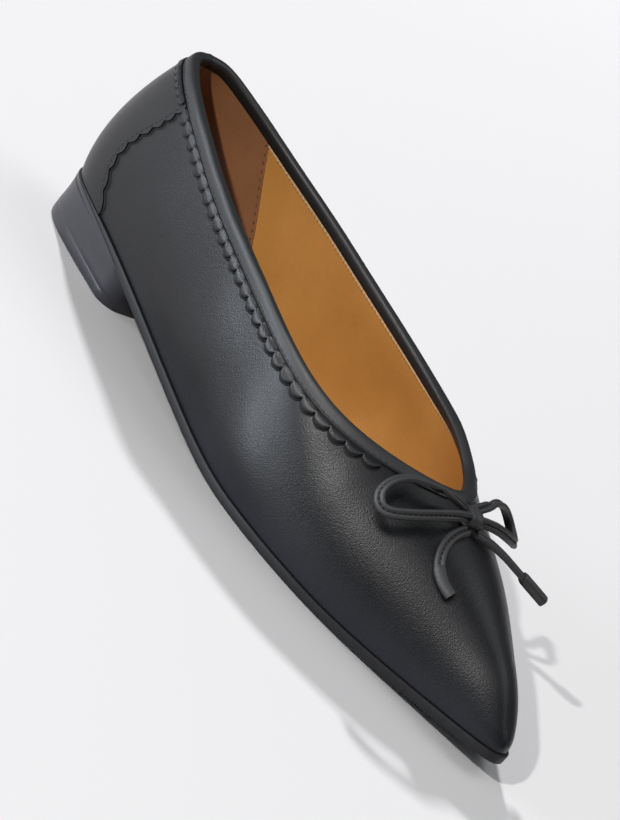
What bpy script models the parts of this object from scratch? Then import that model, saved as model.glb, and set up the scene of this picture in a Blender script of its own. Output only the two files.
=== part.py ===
"""A pointed ballet flat with a small lace bow: the right shoe of a pair.

Metres. X runs from the heel to the toe, Y to the inner side of the foot, Z up.
Every piece is worked out from one last, the form that the upper is drawn over.
"""
import bisect
import functools
import math
from typing import NamedTuple

import bmesh
import bpy
import numpy as np

# Sizes of the last
LAST_LENGTH = 0.252
BALL_WIDTH = 0.080
LAST_HEIGHT = 0.1014
HEEL_RADIUS = 0.0305
TOE_RADIUS_OUTER = 0.0026
TOE_RADIUS_INNER = 0.0060
TOE_OUTWARD = 0.0036
HEEL_HEIGHT = 0.0162
TOE_SPRING = 0.0062

# Seat line, as shares of the length: it falls along the arch, lies flat under
# the tread and springs up after it
ARCH_FROM = 0.05
TREAD_FROM = 0.595
TREAD_TO = 0.74
SPRING_CURVE = 1.7

# Sizes of the collar, the opening for the foot
COLLAR_HEIGHT = 0.0692
VAMP_LENGTH = 0.0743

# Leather and sole thicknesses
UPPER_WALL = 0.0017
OVERLAY_THICK = 0.0007
BINDING_THICK = 0.0006
SOLE_THICK = 0.0030
SOLE_MARGIN = 0.0010
SOLE_BEVEL = 0.0004
INSOLE_THICK = 0.0036
ARCH_PAD_RISE = 0.0040
GAP = 0.0003

# Trim along the collar and round the heel
BINDING_WIDTH = 0.0042
BINDING_INSIDE = 0.0026
TRIM_WIDTH = 0.0017
SCALLOP_PITCH = 0.0060
SCALLOP_DEPTH = 0.0018
COUNTER_SCALLOP_DEPTH = 0.0011
TRIM_STOP = 0.024

# Heel block
HEEL_LENGTH = 0.057
HEEL_CORNER = 0.007
HEEL_TAPER = 0.0008

# Footbed: its front end as a station, and the arch pad in shares
FOOTBED_FRONT = 0.13
TOE_THINNING = 0.50
EDGE_THINNING = 0.30
PAD_FROM = 0.17
PAD_FULL = 0.42
PAD_FADES = 0.50
PAD_ENDS = 0.70
PAD_EDGE = -0.25
PAD_CREST = 0.55
PAD_FALLS = 0.70
PAD_FALL = 0.55

# Bow
LACE_WIDTH = 0.0038
LACE_THICK = 0.0017
LOOP_REACH = 0.0265
TAIL_REACH = 0.0260
INNER_TAIL_FREE = 0.0165
TIP_LENGTH = 0.0105
TIP_SHOULDER = 0.0012
TIP_SWELL = 0.10
KNOT_SETBACK = 0.0103
KNOT_LENGTH = 0.0072
KNOT_HEIGHT = 0.0048

# How finely the surfaces are divided
COLLAR_STEPS = 34
VAMP_STEPS = 12
RIB_STEPS = 9
SOLE_STEPS = 44
SCALLOP_STEPS = 5
COUNTER_STEPS = 11
ACROSS_STEPS = 8
ROUND_STEPS = 16
LOOP_STEPS = 22
TAIL_STEPS = 18


class OutlineRow(NamedTuple):
    """Half widths of the feather edge: shares of LAST_LENGTH and BALL_WIDTH."""

    along: float
    outer: float
    inner: float


OUTLINE = (
    OutlineRow(0.08, 0.262, 0.256),
    OutlineRow(0.20, 0.327, 0.330),
    OutlineRow(0.33, 0.382, 0.366),
    OutlineRow(0.46, 0.440, 0.418),
    OutlineRow(0.58, 0.484, 0.462),
    OutlineRow(0.68, 0.450, 0.518),
    OutlineRow(0.78, 0.346, 0.477),
    OutlineRow(0.90, 0.168, 0.277),
    OutlineRow(0.96, 0.088, 0.154),
)


class RidgeRow(NamedTuple):
    """The last's top line: shares of LAST_LENGTH, LAST_HEIGHT and BALL_WIDTH."""

    along: float
    height: float
    inward: float


RIDGE = (
    RidgeRow(0.100, 0.930, 0.000),
    RidgeRow(0.200, 1.000, 0.000),
    RidgeRow(0.350, 0.887, 0.020),
    RidgeRow(0.500, 0.694, 0.050),
    RidgeRow(0.600, 0.548, 0.060),
    RidgeRow(0.690, 0.440, 0.036),
    RidgeRow(0.800, 0.362, 0.027),
    RidgeRow(0.900, 0.278, 0.018),
    RidgeRow(0.950, 0.222, 0.006),
    RidgeRow(0.985, 0.152, 0.000),
)


class RibRow(NamedTuple):
    """Fullness of a rib from the feather edge to the ridge, by station.

    The station is 0 at the toe tip and 1 at the back of the heel. The rise of
    the lower handle is a share of the rib's height, and its bulge and the
    crown, the upper handle, are shares of the rib's reach in plan.
    """

    station: float
    rise: float
    bulge: float
    crown: float


RIBS = (
    RibRow(0.00, 0.490, 0.090, 0.555),
    RibRow(0.30, 0.487, 0.065, 0.525),
    RibRow(0.50, 0.668, 0.175, 0.750),
    RibRow(0.75, 0.655, 0.165, 0.780),
    RibRow(0.88, 0.360, 0.270, 0.560),
    RibRow(1.00, 0.320, 0.530, 0.590),
)


class CollarRow(NamedTuple):
    """The collar from the side, by its share of the way from heel to throat.

    Outer and inner are shares of the way up from the throat to COLLAR_HEIGHT.
    """

    along: float
    outer: float
    inner: float


COLLAR = (
    CollarRow(0.028, 0.885, 0.885),
    CollarRow(0.170, 0.752, 0.626),
    CollarRow(0.355, 0.466, 0.458),
    CollarRow(0.567, 0.226, 0.292),
    CollarRow(0.737, 0.031, 0.191),
    CollarRow(0.865, -0.068, 0.135),
    CollarRow(0.936, -0.052, 0.047),
    CollarRow(1.000, 0.000, 0.000),
)


class CounterRow(NamedTuple):
    """Front edge of the heel counter: share of its height and of LAST_LENGTH."""

    height: float
    along: float


COUNTER_EDGE = (
    CounterRow(0.00, 0.119),
    CounterRow(0.18, 0.089),
    CounterRow(0.42, 0.080),
    CounterRow(0.72, 0.101),
    CounterRow(1.00, 0.114),
)


class LaceRow(NamedTuple):
    """A point of a loop or a tail, from the knot, as shares of its reach.

    Rise is measured square to the vamp under the point.
    """

    forward: float
    sideways: float
    rise: float


LOOP = (
    LaceRow(-0.09, 0.085, 0.125),
    LaceRow(-0.17, 0.260, 0.175),
    LaceRow(-0.32, 0.520, 0.215),
    LaceRow(-0.42, 0.780, 0.245),
    LaceRow(-0.37, 0.940, 0.250),
    LaceRow(-0.20, 0.960, 0.245),
    LaceRow(-0.04, 0.800, 0.230),
    LaceRow(0.06, 0.520, 0.205),
    LaceRow(0.075, 0.270, 0.175),
    LaceRow(0.05, 0.085, 0.125),
)

OUTER_TAIL = (
    LaceRow(0.155, 0.085, 0.048),
    LaceRow(0.215, 0.250, 0.050),
    LaceRow(0.310, 0.420, 0.052),
    LaceRow(0.440, 0.530, 0.052),
    LaceRow(0.600, 0.580, 0.055),
    LaceRow(0.760, 0.570, 0.060),
    LaceRow(0.900, 0.530, 0.065),
)

INNER_TAIL = (
    LaceRow(0.155, 0.085, 0.048),
    LaceRow(0.240, 0.270, 0.085),
    LaceRow(0.370, 0.500, 0.155),
)


def unit(vector):
    """The vector at length 1."""
    return vector / np.linalg.norm(vector)


class Curve:
    """A natural cubic spline, held level outside its ends, or also at them."""

    def __init__(self, xs, ys, level=False):
        self.xs = [float(x) for x in xs]
        self.ys = [float(y) for y in ys]
        count = len(self.xs)
        steps = np.diff(self.xs)
        matrix = np.eye(count)
        right = np.zeros(count)
        for i in range(1, count - 1):
            matrix[i, i - 1] = steps[i - 1]
            matrix[i, i] = 2 * (steps[i - 1] + steps[i])
            matrix[i, i + 1] = steps[i]
            after = (self.ys[i + 1] - self.ys[i]) / steps[i]
            before = (self.ys[i] - self.ys[i - 1]) / steps[i - 1]
            right[i] = 6 * (after - before)
        if level:
            matrix[0, :2] = (2 * steps[0], steps[0])
            right[0] = 6 * (self.ys[1] - self.ys[0]) / steps[0]
            matrix[-1, -2:] = (steps[-1], 2 * steps[-1])
            right[-1] = -6 * (self.ys[-1] - self.ys[-2]) / steps[-1]
        self.bends = [float(b) for b in np.linalg.solve(matrix, right)]

    def __call__(self, x):
        x = min(max(x, self.xs[0]), self.xs[-1])
        i = min(max(bisect.bisect_right(self.xs, x) - 1, 0), len(self.xs) - 2)
        step = self.xs[i + 1] - self.xs[i]
        left = self.xs[i + 1] - x
        right = x - self.xs[i]
        bend = (self.bends[i] * left**3 + self.bends[i + 1] * right**3) / (6 * step)
        lower = (self.ys[i] / step - self.bends[i] * step / 6) * left
        upper = (self.ys[i + 1] / step - self.bends[i + 1] * step / 6) * right
        return bend + lower + upper

    def slope(self, x):
        """Rise of the curve for each unit of x."""
        small = 1e-4
        return (self(x + small) - self(x - small)) / (2 * small)


def station_at(along):
    """The station whose feather edge lies at a share of the length."""
    return math.acos(max(-1.0, min(1.0, 2 * along - 1))) / math.pi


def share_at(station):
    """The share of the length at a station."""
    return (1 + math.cos(math.pi * station)) / 2


def ease(start, end, x):
    """0 before start, 1 after end and smooth between."""
    t = max(0.0, min(1.0, (x - start) / (end - start)))
    return t * t * (3 - 2 * t)


def seat_height(along):
    """Height of the feather edge above the floor."""
    tread = SOLE_THICK + GAP
    arch = 1 - ease(ARCH_FROM, TREAD_FROM, along)
    toe = max(0.0, (along - TREAD_TO) / (1 - TREAD_TO))
    return tread + arch * (HEEL_HEIGHT - tread) + TOE_SPRING * toe**SPRING_CURVE


class Spot(NamedTuple):
    """A place on the last: side -1 outer or 1 inner, station, and height."""

    side: int
    k: float
    v: float


class Last:
    """The outer surface of the upper, as ribs from feather edge to ridge."""

    PINCH = 0.05

    def __init__(self):
        rows = OUTLINE[::-1]
        stations = [0.0] + [station_at(row.along) for row in rows] + [1.0]
        outer = self.full_values([row.outer for row in rows], stations, TOE_RADIUS_OUTER)
        inner = self.full_values([row.inner for row in rows], stations, TOE_RADIUS_INNER)
        self.fullness = {-1: Curve(stations, outer), 1: Curve(stations, inner)}
        along = [row.along for row in RIDGE]
        self.ridge_height = Curve(along, [row.height * LAST_HEIGHT for row in RIDGE])
        self.ridge_inward = Curve(along, [row.inward * BALL_WIDTH for row in RIDGE])
        places = [row.station for row in RIBS]
        self.rise = Curve(places, [row.rise for row in RIBS], level=True)
        self.bulge = Curve(places, [row.bulge for row in RIBS], level=True)
        self.crown = Curve(places, [row.crown for row in RIBS], level=True)

    @staticmethod
    def full_values(shares, stations, toe_radius):
        """Half widths over the sine of the station, with both ends rounded."""
        ends = [math.sqrt(r * LAST_LENGTH / 2) for r in (toe_radius, HEEL_RADIUS)]
        inside = [
            share * BALL_WIDTH / math.sin(math.pi * k)
            for share, k in zip(shares, stations[1:-1])
        ]
        return [ends[0]] + inside + [ends[1]]

    def toe_turn(self, along):
        """How far the toe's centre line has turned to the outer side."""
        return -TOE_OUTWARD * ease(0.6, 1.0, along)

    def foot(self, side, k):
        """The feather edge at a station."""
        along = share_at(k)
        half = math.sin(math.pi * k) * self.fullness[side](k)
        y = side * half + self.toe_turn(along)
        return np.array((along * LAST_LENGTH, y, seat_height(along)))

    def ridge(self, k):
        """The ridge over a station, and its slope along the shoe."""
        low = RIDGE[0].along
        along = low + (RIDGE[-1].along - low) * share_at(k)
        y = self.ridge_inward(along) + self.toe_turn(along)
        place = np.array((along * LAST_LENGTH, y, self.ridge_height(along)))
        return place, self.ridge_height.slope(along) / LAST_LENGTH

    def ridge_station(self, along):
        """The station whose ridge lies at a share of the length."""
        low = RIDGE[0].along
        return station_at((along - low) / (RIDGE[-1].along - low))

    @functools.lru_cache(maxsize=None)
    def handles(self, side, k):
        """The four points whose blend is the rib at a station."""
        foot = self.foot(side, k)
        top, slope = self.ridge(k)
        height = np.array((0.0, 0.0, top[2] - foot[2]))
        reach = np.array((top[0] - foot[0], top[1] - foot[1], 0.0))
        level = np.array((reach[0], reach[1], reach[0] * slope))
        low = foot + height * self.rise(k) - reach * self.bulge(k)
        high = top - level * self.crown(k)
        return foot, low, high, top

    def point(self, spot):
        """The place of a spot."""
        foot, low, high, top = self.handles(spot.side, spot.k)
        v = spot.v
        u = 1 - v
        return u**3 * foot + 3 * u * u * v * low + 3 * u * v * v * high + v**3 * top

    def moves(self, spot):
        """How the place moves with the station and with the height."""
        step = 0.002
        k0, k1 = max(spot.k - step, 0.0), min(spot.k + step, 1.0)
        v0, v1 = max(spot.v - step, 0.0), min(spot.v + step, 1.0)
        by_k = self.point(spot._replace(k=k1)) - self.point(spot._replace(k=k0))
        by_v = self.point(spot._replace(v=v1)) - self.point(spot._replace(v=v0))
        return by_k / (k1 - k0), by_v / (v1 - v0)

    def normal(self, spot):
        """The outward direction, shared by both sides where they meet."""
        if spot.v >= 1.0 and spot.k < self.PINCH:
            # The two sides close on the ridge's front end, so it is read beside it
            spot = spot._replace(v=1 - self.PINCH)
        by_k, by_v = self.moves(spot)
        out = unit(np.cross(by_k, by_v) * spot.side)
        if on_seam(spot):
            by_k, by_v = self.moves(spot._replace(side=-spot.side))
            out = unit(out + unit(np.cross(by_k, by_v) * -spot.side))
        return out

    def place(self, spot, offset=0.0):
        """The place of a spot, lifted off the surface by an offset."""
        if offset == 0.0:
            return self.point(spot)
        return self.point(spot) + self.normal(spot) * offset


def on_seam(spot):
    """Whether the outer and the inner side meet at this spot."""
    return spot.v >= 1.0 or spot.k <= 0.0 or spot.k >= 1.0


class Collar:
    """The edge of the opening, from the back of the heel to the throat."""

    THROAT_ALONG = 1 - VAMP_LENGTH / LAST_LENGTH
    SAMPLES = 160

    def __init__(self, last):
        self.last = last
        self.throat_k = last.ridge_station(self.THROAT_ALONG)
        throat = last.ridge(self.throat_k)[0]
        along = [row.along * self.THROAT_ALONG for row in COLLAR]
        self.height = {}
        for side, shares in ((-1, [r.outer for r in COLLAR]), (1, [r.inner for r in COLLAR])):
            heights = [throat[2] + share * (COLLAR_HEIGHT - throat[2]) for share in shares]
            self.height[side] = Curve(along, heights)
        self.stations = {}
        self.arcs = {}
        for side in (-1, 1):
            self.measure(side)

    @functools.lru_cache(maxsize=None)
    def rise(self, side, k):
        """How far up its rib the collar lies at a station."""
        if k <= self.throat_k:
            return 1.0
        handles = [(float(p[0]), float(p[2])) for p in self.last.handles(side, k)]
        low, high = 0.0, 1.0
        for _ in range(30):
            v = (low + high) / 2
            u = 1 - v
            weights = (u**3, 3 * u * u * v, 3 * u * v * v, v**3)
            along = sum(w * p[0] for w, p in zip(weights, handles)) / LAST_LENGTH
            z = sum(w * p[1] for w, p in zip(weights, handles))
            if along < self.THROAT_ALONG and z > self.height[side](along):
                high = v
            else:
                low = v
        return (low + high) / 2

    def measure(self, side):
        """Length of the collar from the heel, at samples close at the throat."""
        ks, arcs, before = [], [0.0], None
        for i in range(self.SAMPLES + 1):
            left = 1 - i / self.SAMPLES
            k = self.throat_k + (1 - self.throat_k) * left * left
            place = self.last.point(Spot(side, k, self.rise(side, k)))
            if before is not None:
                arcs.append(arcs[-1] + float(np.linalg.norm(place - before)))
            before = place
            ks.append(k)
        self.stations[side] = ks
        self.arcs[side] = arcs

    def length(self, side):
        """Length of the collar on one side."""
        return self.arcs[side][-1]

    def spot(self, side, arc):
        """The spot at a length along the collar; past an end, the other side's."""
        if arc < 0:
            return self.spot(-side, -arc)
        if arc > self.length(side):
            return self.spot(-side, self.length(-side) - (arc - self.length(side)))
        k = float(np.interp(arc, self.arcs[side], self.stations[side]))
        return Spot(side, k, self.rise(side, k))

    def down(self, side, arc):
        """Direction in the surface that leads straight away from the opening."""
        step = 0.0015
        ahead = self.last.point(self.spot(side, arc + step))
        behind = self.last.point(self.spot(side, arc - step))
        tangent = unit(ahead - behind) * -side
        return unit(np.cross(tangent, self.last.normal(self.spot(side, arc))))

    def below(self, side, arc, distance):
        """The spot a distance down the surface from the collar."""
        spot = self.spot(side, arc)
        down = self.down(side, arc)
        strides = 3
        for _ in range(strides):
            by_k, by_v = self.last.moves(spot)
            goal = down * distance / strides
            if spot.k >= 1.0:
                change = (0.0, float(goal @ by_v) / float(by_v @ by_v))
            elif spot.v >= 1.0 and arc >= self.length(side):
                change = (float(goal @ by_k) / float(by_k @ by_k), 0.0)
            else:
                change = np.linalg.lstsq(np.column_stack((by_k, by_v)), goal, rcond=None)[0]
            k = min(max(spot.k + float(change[0]), 0.0), 1.0)
            spot = spot._replace(k=k, v=min(spot.v + float(change[1]), 1.0))
        return spot


class Sheet:
    """Faces between outer points, with an inner point behind each of them."""

    def __init__(self):
        self.outer = []
        self.inner = []
        self.faces = []
        self.index = {}

    def vertex(self, key, outer, inner):
        """The number of a vertex, made when its key is new."""
        if key not in self.index:
            self.index[key] = len(self.outer)
            self.outer.append(outer)
            self.inner.append(inner)
        return self.index[key]

    def face(self, corners):
        """A face, turned so that it looks from the inner to the outer side."""
        ring = [c for i, c in enumerate(corners) if c != corners[i - 1]]
        if len(ring) < 3:
            return
        area = np.zeros(3)
        out = np.zeros(3)
        for a, b in zip(ring, ring[1:] + ring[:1]):
            area += np.cross(self.outer[a], self.outer[b])
            out += self.outer[a] - self.inner[a]
        self.faces.append(ring if area @ out > 0 else ring[::-1])

    def grid(self, columns):
        """Faces between neighbouring columns of vertex numbers."""
        for left, right in zip(columns, columns[1:]):
            for row in range(len(left) - 1):
                self.face([left[row], right[row], right[row + 1], left[row + 1]])

    def solid(self):
        """Points and faces of the closed wall."""
        count = len(self.outer)
        faces = [list(face) for face in self.faces]
        faces += [[i + count for i in reversed(face)] for face in self.faces]
        edges = {(a, b) for face in self.faces for a, b in zip(face, face[1:] + face[:1])}
        for a, b in sorted(edges):
            if (b, a) not in edges:
                faces.append([b, a, a + count, b + count])
        return self.outer + self.inner, faces


class Finish(NamedTuple):
    """Plain look of a piece."""

    name: str
    colour: tuple
    roughness: float


LEATHER = Finish("black_leather", (0.030, 0.031, 0.034), 0.45)
LACE_LEATHER = Finish("lace_leather", (0.024, 0.025, 0.028), 0.50)
SOLE_LEATHER = Finish("sole_leather", (0.028, 0.027, 0.027), 0.55)
HEEL_STACK = Finish("heel_stack", (0.030, 0.029, 0.029), 0.50)
LINING_LEATHER = Finish("tan_leather", (0.50, 0.29, 0.13), 0.50)


def make_object(name, points, faces, finish):
    """One named object with its own material."""
    mesh = bpy.data.meshes.new(name)
    mesh.from_pydata([tuple(float(c) for c in p) for p in points], [], faces)
    shape = bmesh.new()
    shape.from_mesh(mesh)
    bmesh.ops.recalc_face_normals(shape, faces=shape.faces)
    shape.to_mesh(mesh)
    shape.free()
    material = bpy.data.materials.new(f"{finish.name}_{name}")
    material.use_nodes = True
    shader = material.node_tree.nodes["Principled BSDF"]
    shader.inputs["Base Color"].default_value = (*finish.colour, 1.0)
    shader.inputs["Roughness"].default_value = finish.roughness
    shader.inputs["Metallic"].default_value = 0.0
    mesh.materials.append(material)
    piece = bpy.data.objects.new(name, mesh)
    bpy.context.scene.collection.objects.link(piece)
    mesh.shade_smooth()
    mesh.set_sharp_from_angle(angle=math.radians(35))
    return piece


def wall_vertex(sheet, last, spot, outer, inner):
    """A vertex of a sheet that lies along the last, between two offsets."""
    side = 0 if on_seam(spot) else spot.side
    key = (side, round(spot.k, 9), round(spot.v, 9))
    normal = last.normal(spot)
    place = last.point(spot)
    return sheet.vertex(key, place + normal * outer, place + normal * inner)


def upper(last, collar):
    """The leather upper: one wall, open at the collar and underneath."""
    sheet = Sheet()
    rim = BINDING_THICK + GAP
    for side in (-1, 1):
        columns = []
        for j in range(COLLAR_STEPS + 1):
            arc = collar_arc(collar, side, j / COLLAR_STEPS)
            top = collar.below(side, arc, rim)
            foot_k = 1 - (1 - collar.throat_k) * j / COLLAR_STEPS
            columns.append(rib_column(sheet, last, side, foot_k, top))
        throat = collar.below(side, collar.length(side), rim)
        for j in range(1, VAMP_STEPS + 1):
            left = 1 - j / VAMP_STEPS
            top = Spot(side, throat.k * left, 1.0)
            columns.append(rib_column(sheet, last, side, collar.throat_k * left, top))
        sheet.grid(columns)
    points, faces = sheet.solid()
    return make_object("upper", points, faces, LEATHER)


def collar_arc(collar, side, share):
    """Length along the collar, spread by station with close steps at the throat."""
    soft = 0.15
    left = 1 - share
    spread = math.hypot(left, soft) - soft
    k = collar.throat_k + (1 - collar.throat_k) * spread / (math.hypot(1, soft) - soft)
    return float(np.interp(-k, [-q for q in collar.stations[side]], collar.arcs[side]))


def rib_column(sheet, last, side, foot_k, top):
    """Vertices of the upper from the feather edge to the top of its wall."""
    column = []
    for row in range(RIB_STEPS + 1):
        share = row / RIB_STEPS
        k = foot_k + (top.k - foot_k) * share
        column.append(wall_vertex(sheet, last, Spot(side, k, top.v * share), 0.0, -UPPER_WALL))
    return column


def binding(last, collar):
    """The folded binding over the collar: a channel swept round the opening."""
    outside = GAP + BINDING_THICK
    inside = -UPPER_WALL - GAP - BINDING_THICK
    round_off = BINDING_THICK * 0.5
    section = (
        (outside, BINDING_WIDTH),
        (outside, round_off),
        (outside - round_off, 0.0),
        (inside + round_off, 0.0),
        (inside, round_off),
        (inside, BINDING_INSIDE),
        (inside + BINDING_THICK, BINDING_INSIDE),
        (inside + BINDING_THICK, BINDING_THICK),
        (GAP, BINDING_THICK),
        (GAP, BINDING_WIDTH),
    )
    places = [(-1, j / COLLAR_STEPS) for j in range(COLLAR_STEPS + 1)]
    places += [(1, j / COLLAR_STEPS) for j in range(COLLAR_STEPS - 1, 0, -1)]
    points = []
    for side, share in places:
        arc = collar_arc(collar, side, share)
        for offset, distance in section:
            points.append(last.place(collar.below(side, arc, distance), offset))
    faces = ring_faces(len(places), len(section))
    return make_object("topline_binding", points, faces, LEATHER)


def ring_faces(stations, sides):
    """Faces of a closed section swept round a closed path."""
    faces = []
    for i in range(stations):
        after = (i + 1) % stations
        for j in range(sides):
            beside = (j + 1) % sides
            faces.append([
                i * sides + j,
                i * sides + beside,
                after * sides + beside,
                after * sides + j,
            ])
    return faces


def counter_arc(last, collar, side):
    """Length along the collar at which the heel counter's front edge meets it."""
    k = station_at(COUNTER_EDGE[-1].along)
    return float(np.interp(-k, [-q for q in collar.stations[side]], collar.arcs[side]))


def trim(last, collar, side, name):
    """The scalloped strip below the binding, from the counter to the bow."""
    start = counter_arc(last, collar, side) + 2 * GAP + COUNTER_SCALLOP_DEPTH
    end = collar.length(side) - TRIM_STOP
    count = max(2, round((end - start) / SCALLOP_PITCH))
    pitch = (end - start) / count
    top = BINDING_WIDTH + GAP
    sheet = Sheet()

    def vertex(arc, distance):
        spot = collar.below(side, arc, distance)
        lift = GAP + OVERLAY_THICK
        return wall_vertex(sheet, last, spot, lift, GAP)

    for i in range(count):
        left = start + i * pitch
        corners = [vertex(left, top), vertex(left + pitch / 2, top), vertex(left + pitch, top)]
        for step in range(SCALLOP_STEPS + 1):
            share = 1 - step / SCALLOP_STEPS
            drop = TRIM_WIDTH + SCALLOP_DEPTH * math.sin(math.pi * share)
            corners.append(vertex(left + pitch * share, top + drop))
        sheet.face(corners)
    points, faces = sheet.solid()
    return make_object(name, points, faces, LEATHER)


def counter(last, collar):
    """The heel counter overlay, up to the binding, with a scalloped front edge."""
    front = Curve([row.height for row in COUNTER_EDGE], [row.along for row in COUNTER_EDGE])
    sheet = Sheet()
    tops = {}
    for side in (-1, 1):
        end = counter_arc(last, collar, side) + SCALLOP_PITCH
        spots = [collar.below(side, end * i / 24, BINDING_WIDTH + GAP) for i in range(25)]
        tops[side] = ([-spot.k for spot in spots], [spot.v for spot in spots])

    def spot_at(side, height, k):
        return Spot(side, k, height * float(np.interp(-k, *tops[side])))

    def front_k(height):
        return station_at(front(height))

    edge = [last.point(spot_at(-1, i / 20, front_k(i / 20))) for i in range(21)]
    length = sum(float(np.linalg.norm(b - a)) for a, b in zip(edge, edge[1:]))
    rows = max(3, round(length / SCALLOP_PITCH))
    for side in (-1, 1):
        columns = []
        for i in range(COUNTER_STEPS + 1):
            column = []
            for row in range(rows + 1):
                height = row / rows
                share = i / COUNTER_STEPS
                k = front_k(height) + (1 - front_k(height)) * share
                spot = spot_at(side, height, k)
                column.append(wall_vertex(sheet, last, spot, GAP + OVERLAY_THICK, GAP))
            columns.append(column)
        sheet.grid(columns)
        for row in range(rows):
            scallop = [columns[0][row + 1], columns[0][row]]
            for step in range(1, SCALLOP_STEPS):
                share = step / SCALLOP_STEPS
                height = (row + share) / rows
                spot = spot_at(side, height, front_k(height))
                by_k = last.moves(spot)[0]
                depth = COUNTER_SCALLOP_DEPTH * math.sin(math.pi * share)
                spot = spot._replace(k=spot.k - depth / float(np.linalg.norm(by_k)))
                scallop.append(wall_vertex(sheet, last, spot, GAP + OVERLAY_THICK, GAP))
            sheet.face(scallop)
    points, faces = sheet.solid()
    return make_object("heel_counter", points, faces, LEATHER)


def edge_pair(last, k, margin):
    """The feather edge's outer and inner points, moved outwards by a margin."""
    pair = []
    for side in (-1, 1):
        step = 0.004
        ahead = last.foot(side, max(k - step, 0.0))
        behind = last.foot(side, min(k + step, 1.0))
        run = ahead - behind
        out = np.array((side * -run[1], side * run[0], 0.0))
        if k <= 0.0:
            out = np.array((1.0, 0.0, 0.0))
        if k >= 1.0:
            out = np.array((-1.0, 0.0, 0.0))
        pair.append(last.foot(side, k) + unit(out) * margin)
    return pair


def slab(levels):
    """Points and faces of a plate from levels, top first, of point pairs."""
    points, rings = [], []
    for pairs in levels:
        left, right = [], []
        for a, b in pairs:
            left.append(len(points))
            points.append(a)
            if np.linalg.norm(a - b) < 1e-7:
                right.append(left[-1])
                continue
            right.append(len(points))
            points.append(b)
        rings.append((left, right))
    faces = []

    def add(corners):
        ring = [c for i, c in enumerate(corners) if c != corners[i - 1]]
        if len(ring) > 2:
            faces.append(ring)

    count = len(levels[0])
    for left, right, flip in ((*rings[0], False), (*rings[-1], True)):
        for i in range(count - 1):
            corners = [left[i], right[i], right[i + 1], left[i + 1]]
            add(corners[::-1] if flip else corners)
    for (left, right), (low_left, low_right) in zip(rings, rings[1:]):
        for i in range(count - 1):
            add([left[i + 1], low_left[i + 1], low_left[i], left[i]])
            add([right[i], low_right[i], low_right[i + 1], right[i + 1]])
        if left[0] != right[0]:
            add([left[0], low_left[0], low_right[0], right[0]])
        if left[-1] != right[-1]:
            add([right[-1], low_right[-1], low_left[-1], left[-1]])
    return points, faces


def sole_level(last, margin, drop):
    """One ring of the outsole, from the toe to the heel, below the feather edge."""
    pairs = []
    for i in range(SOLE_STEPS + 1):
        k = i / SOLE_STEPS
        depth = np.array((0.0, 0.0, -GAP - drop))
        pairs.append([place + depth for place in edge_pair(last, k, margin)])
    return pairs


def outsole(last):
    """The thin outsole, proud of the upper, with its edges eased."""
    levels = [
        sole_level(last, SOLE_MARGIN - SOLE_BEVEL, 0.0),
        sole_level(last, SOLE_MARGIN, SOLE_BEVEL),
        sole_level(last, SOLE_MARGIN, SOLE_THICK - SOLE_BEVEL),
        sole_level(last, SOLE_MARGIN - SOLE_BEVEL, SOLE_THICK),
    ]
    points, faces = slab(levels)
    return make_object("outsole", points, faces, SOLE_LEATHER)


def heel_pairs(last, margin, height):
    """One ring of the heel block, from its breast to the back."""
    front_share = HEEL_LENGTH / LAST_LENGTH
    corner = [HEEL_CORNER * (1 - math.cos(math.radians(a))) for a in (10, 25, 45, 65, 80, 90)]
    ks = [station_at(front_share - back / LAST_LENGTH) for back in corner]
    ks += [ks[-1] + (1 - ks[-1]) * i / ROUND_STEPS for i in range(1, ROUND_STEPS + 1)]
    pairs = []
    for k in ks:
        outer, inner = edge_pair(last, k, margin)
        ahead = max(0.0, HEEL_CORNER - (HEEL_LENGTH - outer[0]))
        cut = HEEL_CORNER - math.sqrt(max(0.0, HEEL_CORNER**2 - ahead**2))
        for place, side in ((outer, -1), (inner, 1)):
            place[1] -= side * cut
            place[2] = height(place[0] / LAST_LENGTH)
        inner[0] = outer[0] = (inner[0] + outer[0]) / 2
        pairs.append([outer, inner])
    return pairs


def heel(last):
    """The low heel block: a D in plan, with a flat breast in front."""
    edge = SOLE_MARGIN - SOLE_BEVEL

    def top(along):
        return seat_height(along) - SOLE_THICK - 2 * GAP

    levels = [
        heel_pairs(last, edge, top),
        heel_pairs(last, edge - HEEL_TAPER, lambda along: SOLE_BEVEL),
        heel_pairs(last, edge - HEEL_TAPER - SOLE_BEVEL, lambda along: 0.0),
    ]
    points, faces = slab(levels)
    return make_object("heel", points, faces, HEEL_STACK)


def insole_top(along, across):
    """Thickness of the footbed: thin at the toe, with a pad under the arch."""
    body = INSOLE_THICK * (1 - TOE_THINNING * ease(TREAD_FROM, 0.85, along))
    edge = 1 - EDGE_THINNING * abs(across) ** 6
    lengthways = ease(PAD_FROM, PAD_FULL, along) * (1 - ease(PAD_FADES, PAD_ENDS, along))
    crossways = ease(PAD_EDGE, PAD_CREST, across) * (1 - PAD_FALL * ease(PAD_FALLS, 1.0, across))
    return body * edge + ARCH_PAD_RISE * lengthways * crossways


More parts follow.
